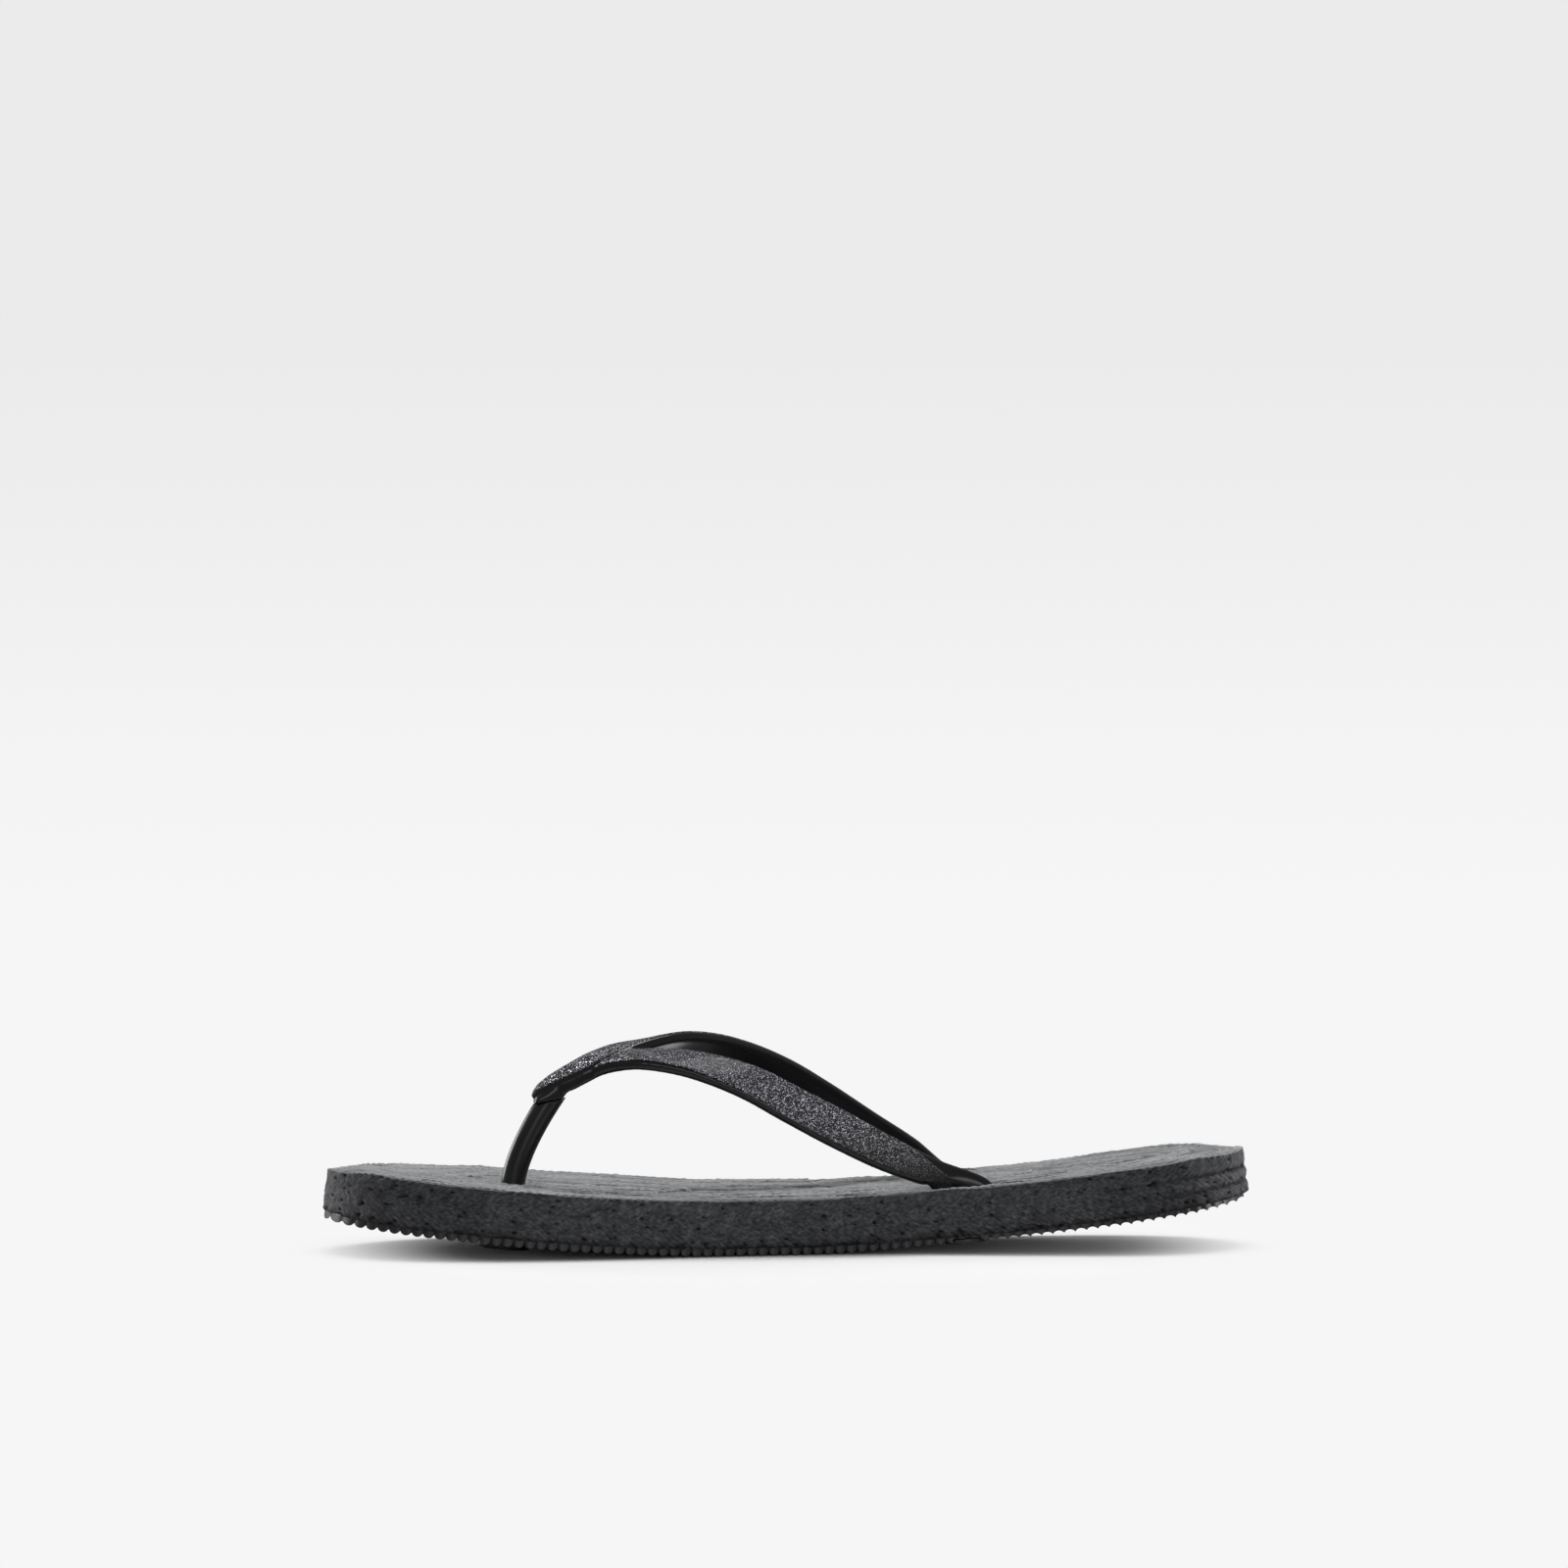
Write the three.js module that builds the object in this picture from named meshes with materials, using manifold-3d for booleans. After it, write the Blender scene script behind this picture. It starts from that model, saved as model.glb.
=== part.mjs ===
// Thong flip flop with a coiled braid sole, right foot.
// Millimetres. +X runs from toe to heel, +Y from the medial (big toe) side to the lateral side, +Z is up.
// The origin is under the middle of the object, on the ground.
import * as THREE from 'three';
import { mergeVertices } from 'three/addons/utils/BufferGeometryUtils.js';
import Module from 'manifold-3d';

const wasm = await Module();
wasm.setup();

// ---- driving dimensions -------------------------------------------------

// Sole outline, measured on its underside.
const SOLE_LENGTH = 258;
const BALL_WIDTH = 88;
const WAIST_WIDTH = 61;
const HEEL_WIDTH = 65;
const BALL_FROM_TOE = 66;
const WAIST_FROM_HEEL = 97;
const HEEL_FROM_HEEL = 31;
const OUTLINE_STEPS = 64;

// Rocker: the toe and the heel curve up from a flat stretch that lies on the ground.
const TOE_SPRING = 9.4;
const HEEL_SPRING = 12.9;
const FLAT_FROM_TOE = 109;
const FLAT_LENGTH = 26;
const ROCKER_POWER = 1.5;
const FACET_LENGTH = 16;

// Braid: one long plait standing on edge and wound inwards.
const BRAID_HEIGHT = 12.6;
const BRAID_PITCH = 6.5;
const FULL_TURNS = 4;
const COIL_GAP = 0.35;
const JOGGLE_STEPS = 4;

// Threads that cross the sole and hold the turns together.
const STITCH_THICKNESS = 1.2;
const STITCH_PITCH = 17;
const STITCH_MARGIN = 3;
const STITCH_FIRST_FROM_TOE = 20;
const STITCH_RECESS = 1.2;

// Rubber outsole with cross ribs.
const OUTSOLE_BASE = 1.0;
const RIB_HEIGHT = 1.6;
const RIB_PITCH = 3.0;
const RIB_FOOT = 2.5;
const RIB_TIP = 1.1;

// Toe post and its plug disc.
const POST_DIAMETER = 6.5;
const POST_FROM_TOE = 50;
const POST_RISE = 24.5;
const POST_LEAN = 11;
const POST_TOP_SLOPE = 0.19;
const TOE_DISC_DIAMETER = 15;
const TOE_DISC_THICKNESS = 2.2;
const POST_SPIGOT_DEPTH = 1.4;

// Strap: two flat arms that leave the toe post together and part on the instep.
const STRAP_THICKNESS = 3.2;
const STRAP_WIDTH = 12;
const STRAP_PEAK = 36.5;
const ARM_BOW = 8;
const SLOT_FROM_TOE = 178.5;
const SLOT_TURN = 1;
const ENTRY_LENGTH = 15;
const STEM_LENGTH = 10;
const FACING_THICKNESS = 0.7;
const FACING_MARGIN = 1.3;
const FACING_CORNER = 0.15;
const STRAP_CORNER = 0.9;
const ARM_STEPS = 22;

// Plug discs of the two arms, let into the outsole.
const SIDE_DISC_DIAMETER = 14;
const SIDE_DISC_THICKNESS = 1.5;

// Clearance between pieces that touch on the real object.
const FIT = 0.3;

// ---- derived places -----------------------------------------------------

const TOE_X = -SOLE_LENGTH / 2;
const HEEL_X = SOLE_LENGTH / 2;
const FLAT_START = TOE_X + FLAT_FROM_TOE;
const FLAT_END = FLAT_START + FLAT_LENGTH;
const OUTSOLE_TOP = RIB_HEIGHT + OUTSOLE_BASE;
const BRAID_BOTTOM = OUTSOLE_TOP + FIT;
const FOOTBED = BRAID_BOTTOM + BRAID_HEIGHT;
const REACH = 60;

const MATERIALS = {
  braid: { color: 0x3a3a3c, roughness: 0.95, metalness: 0 },
  thread: { color: 0x2c2c2e, roughness: 0.9, metalness: 0 },
  rubber: { color: 0x1b1b1c, roughness: 0.7, metalness: 0 },
  gloss: { color: 0x141414, roughness: 0.2, metalness: 0 },
  glitter: { color: 0x46444a, roughness: 0.45, metalness: 0.3 },
};

// ---- solids: booleans and closed shapes -----------------------------------

function toSolid(geometry) {
  const bare = geometry.clone();
  bare.deleteAttribute('normal');
  bare.deleteAttribute('uv');
  const merged = mergeVertices(bare, 1e-4);
  const vertProperties = new Float32Array(merged.attributes.position.array);
  const triVerts = new Uint32Array(merged.index.array);
  return new wasm.Manifold(new wasm.Mesh({ numProp: 3, vertProperties, triVerts }));
}

function toGeometry(solid) {
  const mesh = solid.getMesh();
  const geometry = new THREE.BufferGeometry();
  geometry.setAttribute('position', new THREE.BufferAttribute(mesh.vertProperties, 3));
  geometry.setIndex(new THREE.BufferAttribute(mesh.triVerts, 1));
  geometry.computeVertexNormals();
  return geometry;
}

function join(solids) {
  return solids.reduce((whole, solid) => whole.add(solid));
}

function cut(solid, tools) {
  return tools.reduce((rest, tool) => rest.subtract(tool), solid);
}

// A closed body through a row of sections, each a ring of the same number of points.
function loft(sections) {
  const size = sections[0].length;
  const positions = sections.flat().flatMap((point) => [point.x, point.y, point.z]);
  const faces = [];
  for (let row = 0; row < sections.length - 1; row += 1) {
    for (let i = 0; i < size; i += 1) {
      const a = row * size + i;
      const b = row * size + ((i + 1) % size);
      faces.push(a, b, b + size, a, b + size, a + size);
    }
  }
  const last = (sections.length - 1) * size;
  for (let i = 1; i < size - 1; i += 1) {
    faces.push(0, i + 1, i);
    faces.push(last, last + i, last + i + 1);
  }
  const geometry = new THREE.BufferGeometry();
  geometry.setAttribute('position', new THREE.Float32BufferAttribute(positions, 3));
  geometry.setIndex(faces);
  return geometry;
}

// ---- the curved sole ------------------------------------------------------

function rocker(x) {
  if (x < FLAT_START) {
    const share = (FLAT_START - x) / FLAT_FROM_TOE;
    const slope = (-ROCKER_POWER * TOE_SPRING * share ** (ROCKER_POWER - 1)) / FLAT_FROM_TOE;
    return { lift: TOE_SPRING * share ** ROCKER_POWER, slope };
  }
  if (x > FLAT_END) {
    const run = HEEL_X - FLAT_END;
    const share = (x - FLAT_END) / run;
    const slope = (ROCKER_POWER * HEEL_SPRING * share ** (ROCKER_POWER - 1)) / run;
    return { lift: HEEL_SPRING * share ** ROCKER_POWER, slope };
  }
  return { lift: 0, slope: 0 };
}

// The point at height h over the underside, measured square to the curved sole.
function solePoint(x, y, h) {
  const { lift, slope } = rocker(x);
  const scale = 1 / Math.hypot(1, slope);
  return new THREE.Vector3(x - h * slope * scale, y, lift + h * scale);
}

// A prism over a flat shape, its walls turned to stand square to the curved sole.
function stand(shape) {
  const geometry = new THREE.ExtrudeGeometry(shape, { depth: 1, bevelEnabled: false, curveSegments: 8 });
  const position = geometry.attributes.position;
  for (let i = 0; i < position.count; i += 1) {
    const x = position.getX(i);
    const { lift, slope } = rocker(x);
    const z = position.getZ(i) > 0.5 ? REACH : -REACH / 6;
    position.setX(i, x - slope * (z - lift));
    position.setZ(i, z);
  }
  return toSolid(geometry);
}

// Stations along the sole: close together where it curves, one step over the flat stretch.
function facetStations(from, to) {
  const stations = [from];
  const front = Math.ceil((FLAT_START - from) / FACET_LENGTH);
  for (let i = 1; i <= front; i += 1) stations.push(from + ((FLAT_START - from) * i) / front);
  const back = Math.ceil((to - FLAT_END) / FACET_LENGTH);
  for (let i = 0; i <= back; i += 1) stations.push(FLAT_END + ((to - FLAT_END) * i) / back);
  return stations;
}

// A layer of the sole between a lower edge and the height top, wide enough to be trimmed.
function layer(lowerEdge, top) {
  const upper = facetStations(TOE_X - 3, HEEL_X + 3).map((x) => solePoint(x, 0, top));
  const side = new THREE.Shape();
  lowerEdge.forEach((point, i) => (i === 0 ? side.moveTo(point.x, point.z) : side.lineTo(point.x, point.z)));
  upper.reverse().forEach((point) => side.lineTo(point.x, point.z));
  const geometry = new THREE.ExtrudeGeometry(side, { depth: 2 * REACH, bevelEnabled: false });
  geometry.rotateX(Math.PI / 2);
  geometry.translate(0, REACH, 0);
  return toSolid(geometry);
}

// ---- outline and coil -------------------------------------------------------

function outlineCurve() {
  const ball = BALL_WIDTH / 2;
  const waist = WAIST_WIDTH / 2;
  const heel = HEEL_WIDTH / 2;
  const ballX = TOE_X + BALL_FROM_TOE;
  const waistX = HEEL_X - WAIST_FROM_HEEL;
  const heelX = HEEL_X - HEEL_FROM_HEEL;
  const mid = (a, b, share) => THREE.MathUtils.lerp(a, b, share);
  const points = [
    [TOE_X, -0.12 * ball],
    [TOE_X + 6, -0.6 * ball],
    [TOE_X + 19, -0.86 * ball],
    [ballX - 22, -0.97 * ball],
    [ballX, -0.96 * ball],
    [mid(ballX, waistX, 0.56), -mid(0.96 * ball, 0.9 * waist, 0.68)],
    [waistX, -0.9 * waist],
    [mid(waistX, heelX, 0.6), -mid(0.9 * waist, 0.98 * heel, 0.75)],
    [heelX, -0.98 * heel],
    [HEEL_X - 12, -0.75 * heel],
    [HEEL_X, 0],
    [HEEL_X - 12, 0.78 * heel],
    [heelX, 1.02 * heel],
    [mid(waistX, heelX, 0.42), 1.01 * heel],
    [waistX - 10, 1.13 * waist],
    [mid(ballX, waistX, 0.5), mid(1.03 * ball, 1.13 * waist, 0.45)],
    [ballX + 15, 1.03 * ball],
    [ballX - 20, 0.91 * ball],
    [TOE_X + 22, 0.65 * ball],
    [TOE_X + 7, 0.29 * ball],
  ];
  const places = points.map(([x, y]) => new THREE.Vector3(x, y, 0));
  return new THREE.CatmullRomCurve3(places, true, 'centripetal');
}

const OUTLINE = outlineCurve().getSpacedPoints(OUTLINE_STEPS).slice(0, OUTLINE_STEPS);

function edgeY(x, side) {
  let found = 0;
  OUTLINE.forEach((a, i) => {
    const b = OUTLINE[(i + 1) % OUTLINE_STEPS];
    if (a.x === b.x || (a.x - x) * (b.x - x) > 0) return;
    const y = THREE.MathUtils.lerp(a.y, b.y, (x - a.x) / (b.x - a.x));
    if (Math.sign(y - coreY(x)) === side) found = y;
  });
  return found;
}

// The core is the line that the coil closes in on, from the middle of the toe to that of the heel.
const CORE_START = TOE_X + 43;
const CORE_END = HEEL_X - 34;
const CORE_MIDDLE = 5;
const CORE_BOW = 4;
const CORE_TOE_DROP = 6;
const CORE_HEEL_DROP = 3.5;

function coreY(x) {
  const reach = x < CORE_MIDDLE ? CORE_MIDDLE - CORE_START : CORE_END - CORE_MIDDLE;
  const drop = x < CORE_MIDDLE ? CORE_TOE_DROP : CORE_HEEL_DROP;
  return CORE_BOW - drop * Math.min(1, Math.abs(x - CORE_MIDDLE) / reach) ** 2;
}

// Moves an outline point towards the core.
function inset(point, distance) {
  const x = THREE.MathUtils.clamp(point.x, CORE_START, CORE_END);
  const core = new THREE.Vector3(x, coreY(x), 0);
  return point.clone().add(core.sub(point).setLength(distance));
}

// A thin standing wall along a path, as a flat shape.
function wallShape(path) {
  const left = [];
  const right = [];
  path.forEach((point, i) => {
    const before = path[Math.max(0, i - 1)];
    const after = path[Math.min(path.length - 1, i + 1)];
    const run = after.clone().sub(before).normalize();
    const side = new THREE.Vector3(-run.y, run.x, 0).multiplyScalar(COIL_GAP / 2);
    left.push(point.clone().add(side));
    right.push(point.clone().sub(side));
  });
  return new THREE.Shape([...left, ...right.reverse()].map((point) => new THREE.Vector2(point.x, point.y)));
}

// The gap between neighbouring turns: loops one pitch apart, stepping inwards over a short
// joggle on the lateral side of the waist, where the outer end of the braid runs out.
function coilGap() {
  const start = OUTLINE.reduce((best, point, i) => {
    const miss = point.y > 0 ? Math.abs(point.x - SLOT_FROM_TOE - TOE_X + 40) : Infinity;
    return miss < best.miss ? { miss, i } : best;
  }, { miss: Infinity, i: 0 }).i;
  const path = [];
  for (let turn = 0; turn < FULL_TURNS; turn += 1) {
    for (let step = 0; step < OUTLINE_STEPS; step += 1) {
      const ramp = THREE.MathUtils.smoothstep(step / JOGGLE_STEPS, 0, 1);
      const distance = turn === 0 && step === 0 ? -1 : BRAID_PITCH * (turn + ramp);
      path.push(inset(OUTLINE[(start + step) % OUTLINE_STEPS], distance));
    }
  }
  return stand(wallShape(path));
}

// Gaps between the folded lengths that fill the middle of the forefoot and of the heel.
function coreGaps() {
  const depth = BRAID_PITCH * (FULL_TURNS + 1);
  const rear = TOE_X + BALL_FROM_TOE + 24;
  const forefoot = OUTLINE.filter((point) => point.x < rear);
  const first = OUTLINE.findIndex((point) => point.x >= rear);
  const ordered = [...OUTLINE.slice(first), ...OUTLINE.slice(0, first)].filter((point) => forefoot.includes(point));
  const hairpin = ordered.map((point) => inset(point, depth));
  const line = (from, to) => [0, 0.25, 0.5, 0.75, 1].map((share) => {
    const x = THREE.MathUtils.lerp(from, to, share);
    return new THREE.Vector3(x, coreY(x), 0);
  });
  const foreLine = line(CORE_START + 12, rear - 4);
  const heelLine = line(HEEL_X - WAIST_FROM_HEEL + 26, CORE_END + 1);
  return [hairpin, foreLine, heelLine].map((path) => stand(wallShape(path)));
}

// ---- holes shared by the sole's layers ------------------------------------

const POST_X = TOE_X + POST_FROM_TOE;
const POST_Y = edgeY(POST_X, -1) + FULL_TURNS * BRAID_PITCH;
const SLOT_X = TOE_X + SLOT_FROM_TOE;
const SLOT_Y = {
  medial: edgeY(SLOT_X, -1) + SLOT_TURN * BRAID_PITCH,
  lateral: edgeY(SLOT_X, 1) - SLOT_TURN * BRAID_PITCH,
};

function circleShape(x, y, radius) {
  const shape = new THREE.Shape();
  shape.absarc(x, y, radius, 0, 2 * Math.PI);
  return shape;
}

function slotShape(x, y, length, width) {
  const shape = new THREE.Shape();
  const half = length / 2;
  const corner = width / 4;
  shape.moveTo(x - half, y - width / 2 + corner);
  shape.lineTo(x - half + corner, y - width / 2);
  shape.lineTo(x + half - corner, y - width / 2);
  shape.lineTo(x + half, y - width / 2 + corner);
  shape.lineTo(x + half, y + width / 2 - corner);
  shape.lineTo(x + half - corner, y + width / 2);
  shape.lineTo(x - half + corner, y + width / 2);
  shape.lineTo(x - half, y + width / 2 - corner);
  return shape;
}

function throughHoles() {
  const wide = ENTRY_LENGTH + 4 * FIT;
  const thick = STRAP_THICKNESS + 2 * FIT;
  return [
    stand(circleShape(POST_X, POST_Y, POST_DIAMETER / 2 + FIT)),
    stand(slotShape(SLOT_X, SLOT_Y.medial, wide, thick)),
    stand(slotShape(SLOT_X, SLOT_Y.lateral, wide, thick)),
  ];
}

// ---- stitches -----------------------------------------------------------------

// Even stations along the sole, without those that would meet the post or an arm's stem.
function stitchStations() {
  const stations = [];
  for (let x = TOE_X + STITCH_FIRST_FROM_TOE; x < HEEL_X - STITCH_FIRST_FROM_TOE; x += STITCH_PITCH) {
    const clearOfPost = Math.abs(x - POST_X) > POST_DIAMETER / 2 + STITCH_MARGIN;
    const clearOfStem = Math.abs(x - SLOT_X) > ENTRY_LENGTH / 2 + STITCH_MARGIN;
    if (clearOfPost && clearOfStem) stations.push(x);
  }
  return stations;
}

function stitchBar(x, thickness, overhang) {
  const from = edgeY(x, -1) + STITCH_RECESS - overhang;
  const to = edgeY(x, 1) - STITCH_RECESS + overhang;
  const height = BRAID_BOTTOM + BRAID_HEIGHT / 2;
  const half = thickness / 2;
  const ring = (y) => [[-half, -half], [half, -half], [half, half], [-half, half]]
    .map(([dx, dh]) => solePoint(x, y, height + dh).add(new THREE.Vector3(dx, 0, 0)));
  return loft([ring(to), ring(from)]);
}

// A disc lying square to the sole, between two heights over its underside.
function discGeometry(x, y, from, to, radius) {
  const profile = [[0, from], [radius, from], [radius, to], [0, to]].map(([r, h]) => new THREE.Vector2(r, h));
  const disc = new THREE.LatheGeometry(profile, 20);
  disc.rotateX(Math.PI / 2);
  disc.rotateY(-Math.atan(rocker(x).slope));
  const foot = solePoint(x, y, 0);
  disc.translate(foot.x, foot.y, foot.z);
  return disc;
}

// ---- toe post ---------------------------------------------------------------------

const POST_FOOT = solePoint(POST_X, POST_Y, FOOTBED);
const POST_TOP = POST_FOOT.clone().add(new THREE.Vector3(POST_LEAN, 0, POST_RISE));

function postPath() {
  const points = [0.25, 0.5, 0.75].map((share) => solePoint(POST_X, POST_Y, FOOTBED * share));
  points.unshift(solePoint(POST_X, POST_Y, FIT - POST_SPIGOT_DEPTH + FIT));
  for (let i = 0; i <= 6; i += 1) {
    const share = (i / 6) * 1.15;
    points.push(POST_FOOT.clone().add(new THREE.Vector3(POST_LEAN * share ** 1.5, 0, POST_RISE * share)));
  }
  return new THREE.CatmullRomCurve3(points);
}

// The half space above the sloping plane where the strap sits on the post.
function aboveSeat(offset) {
  const side = new THREE.Shape();
  const low = POST_TOP.z - REACH * POST_TOP_SLOPE + offset;
  const high = POST_TOP.z + REACH * POST_TOP_SLOPE + offset;
  side.moveTo(POST_TOP.x - REACH, low);
  side.lineTo(POST_TOP.x + REACH, high);
  side.lineTo(POST_TOP.x + REACH, high + REACH);
  side.lineTo(POST_TOP.x - REACH, high + REACH);
  const block = new THREE.ExtrudeGeometry(side, { depth: 2 * REACH, bevelEnabled: false });
  block.rotateX(Math.PI / 2);
  block.translate(0, REACH, 0);
  return toSolid(block);
}

function toePost() {
  const section = circleShape(0, 0, POST_DIAMETER / 2);
  const tube = new THREE.ExtrudeGeometry(section, { extrudePath: postPath(), steps: 22, curveSegments: 8 });
  return toGeometry(toSolid(tube).subtract(aboveSeat(0)));
}

function toePlugDisc() {
  const disc = toSolid(discGeometry(POST_X, POST_Y, -TOE_DISC_THICKNESS, -FIT / 2, TOE_DISC_DIAMETER / 2));
  const socket = toSolid(discGeometry(POST_X, POST_Y, -POST_SPIGOT_DEPTH, 1, POST_DIAMETER / 2 + FIT));
  return toGeometry(disc.subtract(socket));
}

// ---- strap ----------------------------------------------------------------------------

// Stations of an arm from the toe post to its slot: share of the run, share of the climb to the
// peak (front) or of the fall to the footbed (back), share of the bow, share of the width, and
// the tilt of its face in degrees from level.
const ARM = {
  medial: [
    [0, 0, 0, 0.8, 0],
    [0.04, 0.36, 0.03, 0.88, 4],
    [0.12, 0.76, 0.14, 0.95, 12],
    [0.21, 0.96, 0.36, 1, 21],
    [0.29, 1, 0.6, 1, 31],
    [0.38, 1.045, 0.78, 1, 42],
    [0.47, 1.142, 0.92, 1, 53],
    [0.57, 1.3, 1, 1, 62],
    [0.69, 1.5, 0.95, 1, 67],
    [0.8, 1.7, 0.7, 0.95, 69],
    [0.92, 1.885, 0.24, 0.76, 75],
  ],
  lateral: [
    [0, 0, 0, 0.8, 0],
    [0.04, 0.36, -0.2, 0.88, 3],
    [0.12, 0.78, -0.44, 0.95, 8],
    [0.21, 1, -0.42, 1, 16],
    [0.29, 1.02, -0.19, 1, 26],
    [0.38, 1.03, 0.19, 1, 37],
    [0.47, 1.1, 0.56, 1, 48],
    [0.57, 1.25, 0.89, 1, 57],
    [0.69, 1.47, 1.07, 1, 63],
    [0.8, 1.69, 0.97, 0.95, 67],
    [0.92, 1.88, 0.5, 0.76, 74],
  ],
};

const TIP = new THREE.Vector3(POST_TOP.x - 3.6, POST_Y, POST_TOP.z + 0.9);

// Path and face of one arm: centre line, half-width vectors and face normals at even steps.
function armFrames(name) {
  const outward = name === 'medial' ? -1 : 1;
  const slot = solePoint(SLOT_X, SLOT_Y[name], FOOTBED);
  const peakZ = slot.z + STRAP_PEAK;
  const centres = ARM[name].map(([run, rise, bow]) => {
    const z = rise <= 1 ? THREE.MathUtils.lerp(TIP.z, peakZ, rise) : THREE.MathUtils.lerp(peakZ, slot.z, rise - 1);
    const y = THREE.MathUtils.lerp(TIP.y, slot.y, run) + outward * ARM_BOW * bow;
    return new THREE.Vector3(THREE.MathUtils.lerp(TIP.x, slot.x, run), y, z);
  });
  const curve = new THREE.CatmullRomCurve3(centres, false, 'centripetal');
  const frames = centres.map((centre, i) => {
    const [, , , share, tilt] = ARM[name][i];
    const tangent = curve.getTangent(i / (centres.length - 1));
    const level = new THREE.Vector3(tangent.y, -tangent.x, 0).normalize().multiplyScalar(-outward);
    if (level.y * outward > 0) level.negate();
    const upright = new THREE.Vector3().crossVectors(tangent, level);
    if (upright.z < 0) upright.negate();
    const angle = THREE.MathUtils.degToRad(tilt);
    const across = level.clone().multiplyScalar(Math.cos(angle)).addScaledVector(upright, Math.sin(angle));
    const face = level.multiplyScalar(-Math.sin(angle)).addScaledVector(upright, Math.cos(angle));
    return { centre, across, face, half: (STRAP_WIDTH * share) / 2 };
  });
  return { frames, slot, outward };
}

// The ring of one section: a flat bar with its four corners taken off.
function barRing(centre, across, face, half, thick, corner) {
  const flat = half - corner;
  const low = thick / 2 - corner;
  const outline = [
    [-flat, -thick / 2], [flat, -thick / 2], [half, -low], [half, low],
    [flat, thick / 2], [-flat, thick / 2], [-half, low], [-half, -low],
  ];
  return outline.map(([a, f]) => centre.clone().addScaledVector(across, a).addScaledVector(face, f));
}

function smoothRings(rings, steps) {
  const columns = rings[0].map((_, i) => new THREE.CatmullRomCurve3(rings.map((ring) => ring[i]), false, 'centripetal'));
  const smooth = [];
  for (let i = 0; i <= steps; i += 1) smooth.push(columns.map((curve) => curve.getPoint(i / steps)));
  return smooth;
}

// One arm with its stem, grown all round by the clearance when it serves as a cutter.
function armSolid(name, clearance = 0) {
  const { frames, slot, outward } = armFrames(name);
  const alongX = new THREE.Vector3(1, 0, rocker(SLOT_X).slope).normalize();
  const outY = new THREE.Vector3(0, outward, 0);
  const thick = STRAP_THICKNESS + 2 * clearance;
  const bar = (centre, across, face, half) => (
    barRing(centre, across, face, half + clearance, thick, STRAP_CORNER));
  const rings = frames.map(({ centre, across, face, half }) => bar(centre, across, face, half));
  const entry = smoothRings([...rings, bar(slot, alongX, outY, ENTRY_LENGTH / 2)], ARM_STEPS + 2);
  const stemFoot = SIDE_DISC_THICKNESS + FIT;
  const stem = [0.7 * FOOTBED, 0.4 * FOOTBED, stemFoot].map((height) => (
    bar(solePoint(SLOT_X, SLOT_Y[name], height), alongX, outY, STEM_LENGTH / 2)));
  return lofted([...entry, ...stem]);
}

// A loft whose faces are turned outwards whichever way its rings run.
function lofted(rings) {
  const solid = toSolid(loft(rings));
  return solid.volume() > 0 ? solid : toSolid(loft(rings.map((ring) => [...ring].reverse())));
}

// The pad under the front of the strap that sits on the post.
function strapBoss() {
  const side = new THREE.Shape();
  const seat = (dx) => POST_TOP.z + FIT + dx * POST_TOP_SLOPE;
  const width = POST_DIAMETER + 2;
  side.moveTo(POST_TOP.x - 5, seat(-5));
  side.lineTo(POST_TOP.x + 4.6, seat(4.6));
  side.lineTo(POST_TOP.x + 10, seat(10) + 3.2);
  side.lineTo(POST_TOP.x + 9, seat(9) + 5.5);
  side.lineTo(POST_TOP.x - 1, seat(-1) + 2.6);
  side.lineTo(POST_TOP.x - 4.6, seat(-4.6) + 1.2);
  const pad = new THREE.ExtrudeGeometry(side, { depth: width, bevelEnabled: false });
  pad.rotateX(Math.PI / 2);
  pad.translate(0, POST_Y + width / 2, 0);
  return toSolid(pad);
}

function thongStrap() {
  const whole = join([armSolid('medial'), armSolid('lateral'), strapBoss()]);
  return toGeometry(whole.intersect(aboveSeat(FIT).add(behindPost())));
}

// The space behind the post, where the arms may reach lower than the post's top.
function behindPost() {
  const block = new THREE.BoxGeometry(4 * REACH, 4 * REACH, 4 * REACH);
  block.translate(POST_TOP.x + POST_DIAMETER + 2 * REACH, 0, REACH);
  return toSolid(block);
}

// ---- sole pieces and facing ------------------------------------------------------------------

const grownArms = ['medial', 'lateral'].map((name) => armSolid(name, FIT));
const outlinePrism = stand(new THREE.Shape(OUTLINE.map((point) => new THREE.Vector2(point.x, point.y))));
const holes = throughHoles();

function braidCoil() {
  const lower = facetStations(TOE_X - 3, HEEL_X + 3).map((x) => solePoint(x, 0, BRAID_BOTTOM));
  const tunnels = stitchStations().map((x) => toSolid(stitchBar(x, STITCH_THICKNESS + 2 * FIT, 2 * STITCH_RECESS)));
  const slab = layer(lower, FOOTBED).intersect(outlinePrism);
  return toGeometry(cut(slab, [coilGap(), ...coreGaps(), ...holes, ...tunnels, ...grownArms]));
}

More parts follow.
